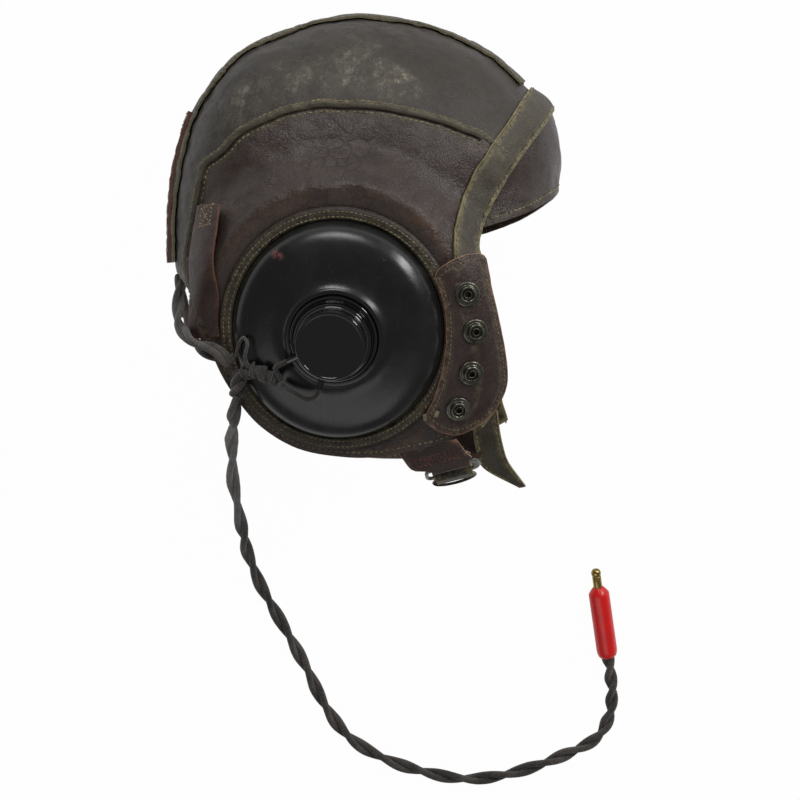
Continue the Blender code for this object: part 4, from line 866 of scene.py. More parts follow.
def moulded(name, shade_a, shade_b):
    m = Finish(name, 0.3, coat=0.15)
    cloud = m.noise(60.0, 5.0, 0.6).step(0.35, 0.7)
    dirt = m.noise(240.0, 6.0, 0.75).step(0.60, 0.76)
    shade = m.mix(dirt * 0.35, m.mix(cloud, shade_a, shade_b), darker(0.35, shade_b))
    return m.dress(shade, cloud * 0.08 + dirt * 0.2 + 0.30, m.noise(180.0, 3.0, 0.5) * 0.03)


def braid(name, dark, light, turns=8.0, pitch=2.3):
    """A cord's woven cover: two sets of threads that cross as they wind round it, with painted shade between the
    threads and painted highlights on its fuzz.
    """
    m = Finish(name, 0.82, sheen=0.3, specular=0.25)
    c, s, run = m.own_vector("wound")
    angle = s.maths("ARCTAN2", c) * turns
    weave = ((angle + run * pitch).maths("SINE") * (angle - run * pitch).maths("SINE")).step(-0.6, 0.7)
    fuzz_and_highlight = m.noise(900.0, 4.0, 0.75)
    shade = m.mix(m.noise(70.0, 5.0, 0.65).step(0.35, 0.68), dark, light)
    # Painted shade in the gaps between the crossing threads, and painted highlight flecks on the fuzz, whose noise also
    # makes a bump.
    shade = m.mix((1.0 - weave) * 0.6, shade, darker(0.35, dark))
    shade = m.mix(fuzz_and_highlight.step(0.58, 0.78) * 0.45, shade, darker(1.9, light))
    return m.dress(shade, None, weave * 0.16 + fuzz_and_highlight * 0.10)


def thread(name, dark, light):
    m = Finish(name, 0.8, sheen=0.2, specular=0.3)
    shade = m.mix(m.noise(130.0, 5.0, 0.7).step(0.34, 0.66), dark, light)
    return m.dress(shade, None, m.noise(2600.0, 2.0, 0.6) * 0.06)


CROWN_SCUFFS = (
    ((0.006, 0.088, 0.070), 0.034), ((-0.036, 0.084, 0.066), 0.026),
    ((-0.060, 0.066, 0.062), 0.024), ((0.034, 0.076, 0.070), 0.020),
)
PALE_DUST, BROWN_DUST = (0.22, 0.19, 0.105), (0.14, 0.12, 0.07)
DARK_DUST, TAB_DUST = (0.13, 0.11, 0.06), (0.13, 0.11, 0.065)

# Each leather's colours are dark, light, worn and raw, and then come its shine, wear, creases and dust
LEATHERS = (
    ("crown", (0.026, 0.0210, 0.0165), (0.053, 0.0445, 0.0355), (0.23, 0.205, 0.160), (0.15, 0.130, 0.080),
     0.48, 0.30, 0.5, PALE_DUST, CROWN_SCUFFS),
    ("brown", (0.029, 0.0185, 0.0152), (0.063, 0.0440, 0.0375), (0.130, 0.090, 0.066), (0.075, 0.052, 0.036),
     0.37, 0.24, 0.9, BROWN_DUST, (), (0.120, 0.064, 0.038)),
    ("olive", (0.034, 0.0280, 0.0195), (0.094, 0.080, 0.056), (0.18, 0.150, 0.090), (0.27, 0.225, 0.115),
     0.52, 0.50, 0.5, PALE_DUST, (), (0.075, 0.048, 0.030), 0.75),
    ("welt", (0.036, 0.030, 0.021), (0.080, 0.070, 0.046), (0.19, 0.165, 0.095), (0.060, 0.050, 0.032),
     0.56, 0.55, 0.3, PALE_DUST),
    ("dark_olive", (0.018, 0.0125, 0.0100), (0.046, 0.0340, 0.0250), (0.11, 0.085, 0.050), (0.095, 0.078, 0.042),
     0.42, 0.30, 0.4, DARK_DUST),
    ("strap", (0.020, 0.0165, 0.011), (0.042, 0.036, 0.024), (0.10, 0.080, 0.045), (0.22, 0.17, 0.070),
     0.62, 0.30, 0.4, PALE_DUST),
    ("tab", (0.022, 0.0105, 0.0085), (0.052, 0.0270, 0.0210), (0.10, 0.064, 0.042), (0.135, 0.062, 0.042),
     0.40, 0.26, 0.4, TAB_DUST),
    ("red", (0.024, 0.0135, 0.0115), (0.051, 0.031, 0.026), (0.12, 0.075, 0.048), (0.36, 0.20, 0.12),
     0.38, 0.26, 0.4, TAB_DUST),
)


def make_finishes():
    return {
        **{name: leather(name + "_leather", *look) for name, *look in LEATHERS},
        "chamois": suede("chamois", (0.30, 0.22, 0.13), (0.47, 0.37, 0.24)),
        "pad": suede("pad_chamois", (0.24, 0.17, 0.10), (0.40, 0.31, 0.20)),
        "rubber": rubber(),
        "resin": resin(),
        "gunmetal": metal("gunmetal", (0.150, 0.148, 0.120), (0.030, 0.031, 0.022), 0.27, 0.85),
        "frame": metal("frame_steel", (0.26, 0.26, 0.25), (0.08, 0.075, 0.065), 0.30, 0.6),
        "steel": metal("inner_steel", (0.50, 0.50, 0.50), (0.20, 0.18, 0.16), 0.25, 0.4),
        "brass": metal("worn_brass", (0.42, 0.30, 0.10), (0.16, 0.12, 0.045), 0.22, 0.6, 240.0),
        "plug": moulded("red_sleeve", (0.84, 0.0060, 0.0060), (0.70, 0.0070, 0.0060)),
        "cord": braid("woven_cord", (0.052, 0.046, 0.042), (0.140, 0.125, 0.112)),
        "thin_cord": braid("thin_woven_cord", (0.036, 0.032, 0.029), (0.095, 0.084, 0.076), 5.0, 3.2),
        "thread": thread("olive_thread", (0.095, 0.082, 0.040), (0.25, 0.218, 0.120)),
        "dark_thread": thread("rust_thread", (0.050, 0.014, 0.010), (0.13, 0.034, 0.022)),
        "patch_thread": thread("patch_thread", (0.090, 0.060, 0.032), (0.22, 0.155, 0.080)),
        "tan_thread": thread("tan_thread", (0.22, 0.135, 0.065), (0.46, 0.30, 0.16)),
    }


# Seam lines and edges in the flat map

FINE = 8


def band_line():
    right = flat_points(BAND)
    line = smooth([*right, flat_middle(BAND_TOP), *flat_left(right[-1:])], FINE)[:-FINE]
    return [*line, *flat_left(line[-2::-1])]


def band_path():
    return [*band_line()[: -3 * FINE], *flat_left(smooth(flat_points(BAND_LEFT), FINE)[FINE:])]


def welt_path(count):
    """The welt ends at the front band's edge."""
    line = evenly(smooth(flat_points(SEAM), 5), 120)
    length = np.linalg.norm(np.diff(form_point(line), axis=0), axis=1)
    left = np.cumsum(length[::-1])[::-1]
    return evenly(line[:-1][left > BAND_WIDTH / 2 + 0.0048], count)


def middle_line(start, end, count):
    return [flat_middle(start + (end - start) * k / count) for k in range(count + 1)]


def crown_outline():
    band = band_line()[8 * FINE : 10 * FINE]
    return [*band, *middle_line(BAND_TOP, NAPE, 60), *smooth(flat_points(SEAM), 5)[:-1]]


def lower_edge(side=RIGHT):
    """The free edge from the brow down the face and round the jaw to the nape."""
    front, low = (FACE_EDGE, JAW) if side == RIGHT else (FACE_LEFT, (*JAW_LEFT, *JAW[len(JAW_LEFT) :]))
    return [*smooth(flat_points(front), 4), *smooth(flat_points(low), 4)[1:]]


def side_outline(side=RIGHT):
    band = band_line()[6 * FINE : 8 * FINE + 1]
    return [*smooth(flat_points(SEAM), 5)[:-1], *reversed(band), *lower_edge(side)[1:-1]]


def brow_low_edge():
    low = smooth([*flat_points(BROW_EDGE), flat_middle(BROW_TIP)], 5)
    return [*low, *flat_left(low[-2::-1])]


def brow_outline():
    back = band_line()[6 * FINE : -6 * FINE]
    return [*reversed(back[1:-1]), *brow_low_edge()[:-1], back[-1]]


def ear_oval(reach, count=72):
    """A flat loop round the ear."""
    return flat_points([((EAR.x + reach * c) / CROWN, (EAR.y + reach * s) / CROWN) for c, s in circle(count)])


def patch_outline():
    """The patch's outline, moved out from the ear where it would lie over the dome."""
    places = []
    for share in (*PATCH, PATCH[0]):
        x, y = share[0] - EAR_CENTRE[0], share[1] - EAR_CENTRE[1]
        out = math.hypot(x * CROWN / (DOME_WIDE + 0.0015), y * CROWN / (DOME_HIGH + 0.0015))
        out = 1.0 / min(out, 1.0)
        places.append((EAR_CENTRE[0] + x * out, EAR_CENTRE[1] + y * out))
    return smooth(flat_points(places), 5)[:-1]


def ear_gap(points):
    """How far side-view places are from the ear ring's outer edge."""
    return (ear_distance(points[:, 0], points[:, 1]) - 1.0) * (DOME_WIDE + RING_REACH)


def patch_lift(flat):
    return (RING_TOP + GAP - TOP[0]) * (1.0 - smoothstep((ear_gap(form_point(flat)) - GAP) / 0.0040))


# Leather pieces

SEAMS = {RIGHT: [], LEFT: []}


def set_wear(obj, base, away, side):
    """Keeps how far each point is from its piece's edge and from a seam, in millimetres."""
    set_values(obj, "edge_mm", np.concatenate([np.minimum(away, 0.4), away]))
    set_values(obj, "seam_mm", np.tile(distances(base, SEAMS[side]), 2))


def panel(name, outline, layer, finish, side, step, holes=(), lift=None):
    """A panel of leather over the head form, with its wear and seams kept as distances."""
    outline = inset(outline, 0.5 * CLEAR * FLAT)
    flat, faces = fill(outline, holes, step * FLAT)
    extra = np.zeros(len(flat)) if lift is None else lift(flat)
    skins = [on_form(flat, height + extra, side) for height in layer]
    faces, rim = two_skins(len(flat), faces)
    obj = add_mesh(name, np.concatenate(skins), faces, finish)
    edge = np.concatenate([evenly([*loop, loop[0]], 700) for loop in (outline, *holes)])
    base = mirrored(form_point(flat), side)
    away = distances(base, mirrored(form_point(edge), side))
    away[rim] = 0.0
    set_wear(obj, base, away, side)
    set_values(obj, "ear_mm", np.tile(1000.0 * ear_gap(base), 2))
    return obj


def straight_across(path, reaches, side_on=0.86):
    """Flat points beside a path, kept straight as seen from the side of the head."""
    places = form_point(np.array(path))[:, :2]
    along = np.gradient(places, axis=0)
    along /= np.linalg.norm(along, axis=1, keepdims=True)
    across = np.stack([along[:, 1], -along[:, 0]], axis=1)
    spots = [place + aside * (reach * side_on) for place, aside in zip(places, across) for reach in reaches]
    return np.array(flat_points(spot / CROWN for spot in spots))


def strip(name, path, width, layer, finish, side=RIGHT, columns=9, swell=0.0, count=None, rough=1.0, straight=False):
    """A strip of leather along a path on the head form, a little swollen along its middle."""
    path = evenly(path, count or len(path))
    reaches = np.linspace(-width / 2, width / 2, columns)
    flat = straight_across(path, reaches) if straight else across_form(path, [reaches] * len(path))
    round_off = np.tile(1.0 - (reaches / (width / 2)) ** 2, len(path))
    lower = on_form(flat, layer[0], side, rough)
    upper = on_form(flat, layer[1] + swell * (round_off - 0.4), side, rough)
    faces, _ = two_skins(len(flat), grid_faces(len(path), columns))
    obj = add_mesh(name, np.concatenate([lower, upper]), faces, finish)
    walked = walk(form_point(path))
    ends = np.repeat(np.minimum(walked, walked[-1] - walked), columns)
    away = np.minimum(np.tile(width / 2 - np.abs(reaches), len(path)), ends) * 1000.0
    set_wear(obj, mirrored(form_point(flat), side), away, side)
    return obj


def lay_seams():
    """All the rows of stitching on the head, kept as places so that the leather sinks along them."""
    seam = evenly(smooth(flat_points(SEAM), 5), 130)
    band = evenly(band_path(), 260)
    middle = np.array(middle_line(*CROWN_STRIP, 160))
    patch = inset(patch_outline(), 0.0018 / HALF_WIDTH)
    rows = []
    for side, _ in SIDES:
        rows += [
            (side, beside(seam, 0.0016), WELT[1] + 0.0002),
            (side, beside(seam, -0.0042), PANEL[1] + ON_TOP),
            (side, evenly([*patch, patch[0]], 150), None),
            (side, beside(evenly(lower_edge(side), 220)[4:-4], -0.0034), PANEL[1] + ON_TOP),
        ]
    rows += [(RIGHT, beside(band, reach), TRIM[1] + ON_TOP) for reach in (-0.0076, 0.0076)]
    rows += [(RIGHT, beside(middle, reach), TRIM[1] + ON_TOP) for reach in (-0.0166, 0.0166)]
    rows.append((RIGHT, beside(evenly(brow_low_edge(), 120)[3:-3], 0.0040), PANEL[1] + ON_TOP))
    for side, flat, height in rows:
        name = "patch_stitching" if height is None else "olive_stitching"
        height = TOP[1] + ON_TOP + patch_lift(flat) if height is None else height
        place_row(name, on_form(flat, height, side), mirrored(form_normal(flat), side))
        places = mirrored(form_point(flat), side)
        for half, found in SEAMS.items():
            found += [tuple(p) for p in places[places[:, 2] * half > -0.02]]


def make_shell(finish):
    crown, brown, olive = finish["crown"], finish["brown"], finish["olive"]
    hole = ear_oval(EAR_HOLE)
    for side, word in SIDES:
        piece = panel("crown_leather_" + word, crown_outline(), PANEL, crown, side, 0.0030)
        keep(piece, "leather_crown", "crown_panel_" + word)
        piece = panel("side_leather_" + word, side_outline(side), PANEL, brown, side, 0.0027, [hole])
        keep(piece, "leather_brown", "side_panel_" + word)
        piece = strip("seam_piping_" + word, welt_path(150), 0.0044, WELT, finish["welt"], side, 9, 0.0008)
        keep(piece, "leather_olive", "seam_welt_" + word)
    piece = strip("crown_seam_strip", middle_line(*CROWN_STRIP, 60), 0.0380, TRIM, crown, RIGHT, 15, 0.0002, 150)
    keep(piece, "leather_crown", "crown_strip")
    piece = strip("stitched_band", band_path(), BAND_WIDTH, TRIM, olive, RIGHT, 11, 0.0003, 260)
    keep(piece, "leather_olive", "front_band")
    keep(panel("brow_leather", brow_outline(), PANEL, brown, RIGHT, 0.0027), "leather_brown", "brow_piece")


def make_lining(finish):
    """Chamois inside each half, sewn on round its edge and cut away at the ear."""
    band = band_line()
    crown = [*band[8 * FINE : 10 * FINE], *middle_line(BAND_TOP, NAPE, 22)]
    face, jaw = smooth(flat_points(FACE_EDGE), 2), smooth(flat_points(JAW), 2)
    front = [*reversed(band[6 * FINE : 8 * FINE + 1]), *face[1:], *jaw[1:-1]]
    whole = [*crown, flat_point(SEAM[0]), *reversed(front)]
    outline = inset(evenly([*whole, whole[0]], 52)[:-1], 0.0020 / HALF_WIDTH)
    rim = evenly([*outline, outline[0]], 500)

    def hem(flat):
        near = np.array([np.hypot(*(rim - p).T).min() for p in flat]) * HALF_WIDTH
        sag = 0.0006 * fractal(form_point(flat), 30.0, 2, 5) * smoothstep(near / 0.02)
        return 0.0027 * (1.0 - smoothstep(near / 0.0120)) + np.minimum(sag, 0.0003)

    hole = ear_oval(EAR_HOLE)
    for side, word in SIDES:
        soft = panel("chamois_lining_" + word, outline, LINING, finish["chamois"], side, 0.0048, [hole], hem)
        keep(soft, "chamois", "lining_" + word)


# Ear cups


def ear_ring(radius, height, steps):
    """A ring round the ear's axis, which grows oval towards the dome's rim."""
    share = min(max((radius - LIP) / (DOME_WIDE - LIP), 0.0), 1.0)
    taller = (DOME_HIGH - DOME_WIDE) * share
    return [EAR + FORWARD * (radius * c) + UP * ((radius + taller) * s) + OUT * height for c, s in circle(steps)]


def ear_rings(profile, steps):
    return rows_of(p for radius, height in profile for p in ear_ring(radius, height, steps))


def from_ear(points):
    """Where points of the right half are, forward and up from the ear's axis."""
    local = points - np.array(EAR)
    return local @ np.array(FORWARD), local @ np.array(UP)


def turned(name, profile, finish, side, steps, sway):
    """A piece turned about the ear's axis from its (radius, height) profile."""
    points = ear_rings(profile, steps)
    points = points + sway(points)[:, None] * np.array(OUT)
    return add_mesh(name, points, ring_faces(len(profile), steps), finish, 35.0, side)


def rounded(profile, radius, count=3):
    """A closed profile with each of its corners rounded off."""
    made = []
    points = [Vector(p) for p in profile]
    for before, here, after in zip(points[-1:] + points[:-1], points, points[1:] + points[:1]):
        reach = min(radius, 0.45 * (before - here).length, 0.45 * (after - here).length)
        start = here + (before - here).normalized() * reach
        end = here + (after - here).normalized() * reach
        for k in range(count + 1):
            t = k / count
            made.append(tuple(start * (1 - t) ** 2 + here * (2 * t * (1 - t)) + end * t**2))
    return made


def dome_profile():
    rim, wall, top = DOME_WIDE, DOME_WALL, DOME_TOP
    low = SKIN + CLEAR
    ledge = CASE_LOW - CLEAR
    bore = CASE + CLEAR
    outside = smooth([
        (rim, low + 0.0012), (rim + 0.0001, 0.16 * top), (rim - 0.2 * wall, 0.29 * top), (rim - 0.9 * wall, 0.48 * top),
        (rim - 2.3 * wall, 0.63 * top), (rim - 4.2 * wall, 0.725 * top), (rim - 6.4 * wall, 0.785 * top),
        (rim - 8.6 * wall, 0.835 * top), (LIP + 1.5 * wall, 0.885 * top), (LIP + 0.75 * wall, 0.935 * top),
        (LIP + 0.28 * wall, 0.985 * top),
    ], 4)
    inner = smooth([
        (LIP + 0.3 * wall, ledge - wall), (LIP + 0.9 * wall, 0.79 * top), (rim - 8.3 * wall, 0.70 * top),
        (rim - 5.0 * wall, 0.64 * top), (rim - 2.8 * wall, 0.50 * top), (rim - 1.3 * wall, 0.27 * top),
        (rim - 1.1 * wall, low),
    ], 3)
    lip = [
        (LIP, top), (bore + 0.0006, top), (bore, top - 0.0006), (bore, ledge),
        (bore - 2.2 * wall, ledge), (bore - 2.2 * wall, ledge - wall),
    ]
    return [(rim + FLANGE, low), (rim + FLANGE, low + FLANGE_THICK), *outside, *lip, *inner]


def ring_profile():
    inner = DOME_WIDE + CLEAR
    step = DOME_WIDE + FLANGE + CLEAR
    outer = DOME_WIDE + RING_REACH
    low = SKIN + CLEAR
    lap = low + FLANGE_THICK + CLEAR
    return rounded([
        (inner, lap), (step, lap), (step, low), (outer, low), (outer, low + 0.0010), (outer - 0.0012, lap + 0.0012),
        (step, lap + 0.0018), (inner + 0.0012, lap + 0.0019), (inner, lap + 0.0012),
    ], 0.0004, 2)


def case_profile():
    low = CASE_LOW + 0.0025 + 0.0004 + 3 * CLEAR
    flange = DOME_TOP + 0.0025
    shelf = 0.5 * (flange + CASE_TOP) - 0.0025
    top = CASE_TOP
    made = rounded([
        (CASE, low), (CASE, flange), (CASE_STEP + 0.0012, flange), (CASE_STEP + 0.0010, flange - 0.0006),
        (CASE_STEP + 0.0002, flange - 0.0006), (CASE_STEP, flange + 0.0004), (CASE_STEP, shelf),
        (CASE_FACE + 0.0006, shelf + 0.0002), (CASE_FACE, shelf + 0.0008), (CASE_FACE, top),
        (CASE_FACE - 0.0016, top), (CASE_FACE - 0.0019, top - 0.0003), (0.004, top - 0.0003), (0.004, top - 0.0025),
        (CASE_FACE - 0.0025, top - 0.0025), (CASE_FACE - 0.0025, low),
    ], 0.0006, 3)
    return [p for p in made if p[0] > 0.0045]


def case_mesh(name, finish, side, steps=96):
    """The receiver's stepped case: a cup that its flat outer face closes."""
    profile = case_profile()
    split = 1
    for (_, before), (radius, height) in zip(profile, profile[1:]):
        if height < before - 0.001 and before > CASE_TOP - 0.0008 and radius < CASE_FACE:
            break
        split += 1
    faces = ring_faces(len(profile), steps)
    faces = faces[: (split - 1) * steps] + faces[split * steps :]
    faces += [tuple(range((split - 1) * steps, split * steps)), tuple(range(split * steps, (split + 1) * steps))]
    return add_mesh(name, ear_rings(profile, steps), faces, finish, 30.0, side)


def gathers(points):
    return 0.00025 * fractal(points, 130.0, 2, 12)


def waves(points):
    """Slow dents in the rubber, between the dome's lip and its rim."""
    reach = np.hypot(*from_ear(points))
    rim = smoothstep((reach - LIP - 0.004) / 0.02) * smoothstep((DOME_WIDE - reach) / 0.006)
    return 0.00045 * fractal(points, 26.0, 1, 21) * rim


def pleats(points):
    forward, up = from_ear(points)
    return 0.00035 * np.sin(np.arctan2(up, forward) * 46.0 + 2.0 * fractal(points, 40.0, 1, 2))


def make_ears(finish):
    middle = (EAR_HOLE + 0.005 - PAD_WIDE, -0.0065 - 0.0046)
    pad = [(middle[0] + PAD_WIDE * (c if c > 0 else 0.98 * c), middle[1] - PAD_HIGH * s) for c, s in circle(24)]
    for side, word in SIDES:
        dome = turned("rubber_dome_" + word, dome_profile(), finish["rubber"], side, 112, waves)
        keep(dome, "rubber", "ear_dome_" + word)
        ring = turned("stitched_ring_" + word, ring_profile(), finish["dark_olive"], side, 144, gathers)
        points = (rows_of(v.co for v in ring.data.vertices) - np.array(PLACE)) @ TURN
        out = (np.hypot(*from_ear(mirrored(points, side))) - DOME_WIDE) * 1000.0
        set_values(ring, "edge_mm", np.minimum(np.abs(out - 1000 * CLEAR), np.abs(1000 * RING_REACH - out) + 0.3))
        set_values(ring, "seam_mm", np.minimum(np.abs(out - 2.6), np.abs(out - 5.8)))
        keep(ring, "leather_olive", "ear_ring_" + word)
        for reach, height in ((DOME_WIDE + 0.0022, RING_TOP + ON_TOP), (DOME_WIDE + 0.0054, RING_TOP - ON_TOP)):
            row = ear_ring(reach, height, 150)
            row = mirrored(rows_of([*row, row[0]]), side)
            place_row("ring_stitching", row, np.tile(mirrored(np.array(OUT), side), (len(row), 1)))
        keep(case_mesh("receiver_body_" + word, finish["resin"], side), "phenolic", "receiver_case_" + word)
        soft = turned("ear_cushion_" + word, pad, finish["pad"], side, 184, pleats)
        set_values(soft, "edge_mm", np.full(len(soft.data.vertices), UNWORN))
        keep(soft, "chamois", "ear_pad_" + word)


# Snaps, in millimetres from the fastener's axis and its seat

SNAP_PROFILE = (
    (1.6, 0.0), (7.4, 0.0), (7.45, 0.35), (7.1, 0.85), (6.3, 1.05), (5.5, 0.95), (5.15, 1.3), (5.0, 2.4), (4.7, 3.1),
    (4.15, 3.35), (3.6, 3.1), (3.35, 2.3), (3.1, 1.75), (2.7, 1.8), (2.45, 2.5), (2.1, 2.75), (1.75, 2.5), (1.6, 1.6),
)
SNAP_STEPS = 40


def surface_frame(flat):
    """A place on the plain form, with its directions up, across and out."""
    flat = np.array([flat])
    normal = Vector(form_normal(flat)[0])
    along = unit(Vector((0.0, 1.0, 0.0)) - normal * normal.y)
    return Vector(form_point(flat)[0]), along, normal.cross(along), normal


def seat_height(flat, radius):
    """How high a flat ring of that radius sits on the patch."""
    place, along, across, normal = surface_frame(flat)
    tallest = TOP[1]
    for c, s in circle(12):
        edge = place + along * (radius * c) + across * (radius * s)
        spot = np.array([flat_point((edge.x / CROWN, edge.y / CROWN))])
        top = Vector(form_point(spot)[0] + form_normal(spot)[0] * (TOP[1] + float(patch_lift(spot)[0])))
        tallest = max(tallest, (top - place).dot(normal))
    return tallest + CLEAR


def make_snaps(finish):
    profile = [(radius * 0.001, height * 0.001) for radius, height in rounded(SNAP_PROFILE, 0.25, 2)]
    for number, share in enumerate(SNAPS, 1):
        flat = flat_point(share)
        seat = seat_height(flat, 0.0074)
        place, along, across, normal = surface_frame(flat)
        points = []
        for radius, height in profile:
            for c, s in circle(SNAP_STEPS):
                points.append(place + (along * c + across * s) * radius + normal * (seat + height))
        faces = ring_faces(len(profile), SNAP_STEPS)
        for side, word in SIDES:
            snap = add_mesh(f"socket_snap_{word}_{number}", points, faces, finish["gunmetal"], 50.0, side)
            keep(snap, "gunmetal", f"snap_{word}_{number}")


def make_patches(finish):
    """The snap patches, each with two bar tacks in zigzag at its low corner."""
    for side, word in SIDES:
        patch = panel("snap_leather_" + word, patch_outline(), TOP, finish["red"], side, 0.0018, (), patch_lift)
        keep(patch, "leather_red", "snap_patch_" + word)
        for number, (share, lean) in enumerate(TACKS, 1):
            place, up, across, normal = surface_frame(flat_point(share))
            place += normal * (seat_height(flat_point(share), 0.0015) + 0.0011)
            c, s = math.cos(lean), math.sin(lean)
            up, across = up * c + across * s, across * c - up * s
            zigzag = [(0.0018 - 0.0036 * k / 17, 0.0010 if k % 2 else -0.0010) for k in range(18)]
            line = [place + up * rise + across * aside for rise, aside in zigzag]
            line = evenly(mirrored(rows_of(line), side), 86)
            tack = strands(f"bar_tack_{word}_{number}", line, 0.00032, finish["thread"], 1, sides=6, seed=number)
            keep(tack, "leather_red")


# Goggle tabs


def box_rows(path, width, length, start):
    """The lines of a boxed cross, as flat paths, sewn through a tab's end."""
    walked = walk(form_point(path))

    def spot(run, reach):
        ends = [[np.interp(at, walked, column) for column in path.T] for at in (run, run + 0.002)]
        return across_form(ends, [[reach], [reach]])[0]

    a, b, w = start, start + length, width / 2
    corners = [(a, -w), (b, -w), (b, w), (a, w)]
    lines = [*zip(corners, corners[1:] + corners[:1]), (corners[0], corners[2]), (corners[3], corners[1])]
    shares = np.linspace(0, 1, 7)
    return [np.array([spot(p[0] + (q[0] - p[0]) * t, p[1] + (q[1] - p[1]) * t) for t in shares]) for p, q in lines]


def make_tabs(finish):
    side_path = smooth(flat_points(SIDE_TAB), 8)
    rear_path = middle_line(*REAR_TAB, 40)
    for side, word, path in ((RIGHT, "right", side_path), (LEFT, "left", side_path), (RIGHT, "rear", rear_path)):
        rear = word == "rear"
        rough = 1.0 if rear else 0.45
        layer = (TRIM[1] + ON_TOP, TOP[1]) if rear else TOP
        path = evenly(path, 70)
        name = "goggle_tab_" + word
        tab = strip(name, path, TAB_WIDTH, layer, finish["tab"], side, 9, 0.0003, None, rough, not rear)
        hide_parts("tab_base_" + word, "tab_strap_" + word)
        points = form_point(path)
        ends = [[np.interp(run, walk(points), column) for column in mirrored(points, side).T] for run in TAB_BEND]
        "tab_" + word
        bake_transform(tab)
        for row in box_rows(path, 0.0098, 0.0118, 0.0016):
            place_row("tan_stitching", on_form(row, TOP[1] + 0.0002, side, rough), mirrored(form_normal(row), side))


# Chin strap and buckle, as shares of the head form

CHIN_TAB = ((0.4017, -1.1433, 0.7110), (0.4567, -1.2183, 0.6768))
CHIN_WIDE, CHIN_SLIM = 0.0350, 0.0235
CHIN_BOX = ((0.42, -0.78), (0.76, -0.78), (0.76, 0.74), (0.42, 0.74))
STRAP_WAY = (
    (0.5200, -1.1830, -0.6550), (0.5250, -1.2500, -0.5500), (0.5300, -1.3020, -0.2600), (0.5430, -1.3180, 0.0976),
    (0.5580, -1.3120, 0.3171),
)
STRAP_BACK = ((0.5567, -1.2560, 0.3537), (0.5833, -1.2627, 0.1829))
STRAP_WIDTH, STRAP_THICK = 0.0225, 0.0016
HANGING_END = (
    (0.700, -0.990, -0.540, 0.0160), (0.706, -1.060, -0.540, 0.0165), (0.722, -1.155, -0.540, 0.0168),
    (0.758, -1.255, -0.590, 0.0160), (0.895, -1.367, -0.730, 0.0040),
)
WIRE = 0.0011
BUCKLE_DEEP = 0.0105
BUCKLE_CORNER = 0.0036


def on_head(share):
    return Vector((share[0] * CROWN, share[1] * CROWN, share[2] * HALF_WIDTH))


BAR = on_head((0.5183, -1.2492, 0.6463))
BAR_ALONG = unit((0.969, 0.247, 0.0))
BAR_ACROSS = Vector((0.040, -0.430, -0.900))
BAR_ACROSS = unit(BAR_ACROSS - BAR_ALONG * BAR_ALONG.dot(BAR_ACROSS))
BAR_OUT = BAR_ACROSS.cross(BAR_ALONG)


def arc(centre, reach, start, toward, count=12):
    """Half a turn round a centre."""
    angles = [math.pi * k / count for k in range(count + 1)]
    return [centre + start * (reach * math.cos(a)) + toward * (reach * math.sin(a)) for a in angles]


def tangent(line, k):
    return unit(line[min(k + 1, len(line) - 1)] - line[max(k - 1, 0)])


def ribbon(name, route, across, widths, thickness, finish, rows=(), columns=11):
    """A flat band along a route, with rows of stitching at shares of its width on its outer face."""
    route = [Vector(point) for point in route]
    across = unit(across)
    walked = walk(rows_of(route))
    outs = [unit(tangent(route, k).cross(across)) for k in range(len(route))]
    upper, lower, away = [], [], []
    for place, out, width, run in zip(route, outs, widths, walked):
        for reach in np.linspace(-1.0, 1.0, columns):
            spot = place + across * (reach * width / 2)
            upper.append(spot + out * (thickness / 2))
            lower.append(spot - out * (thickness / 2))
            away.append(min((1.0 - abs(reach)) * width / 2, run, walked[-1] - run) * 1000.0)
    faces, _ = two_skins(len(upper), grid_faces(len(route), columns))
    obj = add_mesh(name, [*lower, *upper], faces, finish)
    set_values(obj, "edge_mm", np.tile(away, 2))
    near = np.full(len(away), UNWORN)
    for share, low, high in rows:
        sewn = [k for k, run in enumerate(walked) if low <= run / walked[-1] <= high]
        spots = [route[k] + across * (share * widths[k] / 2) + outs[k] * (thickness / 2 + ON_TOP) for k in sewn]
        place_row("olive_stitching", spots, [outs[k] for k in sewn])
        near = np.minimum(near, distances(upper, spots))
    set_values(obj, "seam_mm", np.tile(near, 2))
    return obj


def spaced(route, gap, fewest=8):
    """A route's points at even gaps, and its length."""
    line = rows_of(route)
    total = walk(line)[-1]
    return evenly(line, max(int(total / gap), fewest)), total


def dense(route):
    return [Vector(p) for p in spaced(route, 0.0022, 4)[0]]


def make_chin_tab(finish):
    """The tab that folds round the buckle's bar, with a boxed cross sewn through it."""
    reach = WIRE + CLEAR + SKIN / 2
    top, knee = (on_head(share) for share in CHIN_TAB)
    down = unit((BAR - knee) - BAR_ALONG * BAR_ALONG.dot(BAR - knee))
    out = down.cross(BAR_ALONG)
    turn = arc(BAR, reach, out, down)
    face = dense([top + out * reach, knee + out * reach, turn[0]])
    route = [*face, *turn[1:-1], *dense([turn[-1], knee - out * reach])]
    rooms = np.array([(BAR - place).dot(down) for place in route])
    widths = CHIN_SLIM + (CHIN_WIDE - CHIN_SLIM) * smoothstep((rooms - 0.0005) / 0.0035)
    keep(ribbon("chin_tab_leather", route, BAR_ALONG, widths, SKIN, finish["red"]), "leather_red", "chin_tab")
    lines = [*zip(CHIN_BOX, CHIN_BOX[1:] + CHIN_BOX[:1]), (CHIN_BOX[0], CHIN_BOX[2]), (CHIN_BOX[1], CHIN_BOX[3])]
    for a, b in lines:
        spots = []
        for t in np.linspace(0.0, 1.0, 9):
            run, share = a[0] + (b[0] - a[0]) * t, a[1] + (b[1] - a[1]) * t
            at = run * (len(face) - 1) * 0.80
            k = min(int(at), len(face) - 2)
            spot = face[k].lerp(face[k + 1], at - k)
            spots.append(spot + BAR_ALONG * (share * CHIN_WIDE / 2 * 0.86) + out * (SKIN / 2 + 0.0002))
        place_row("rust_stitching", spots, [out] * len(spots))


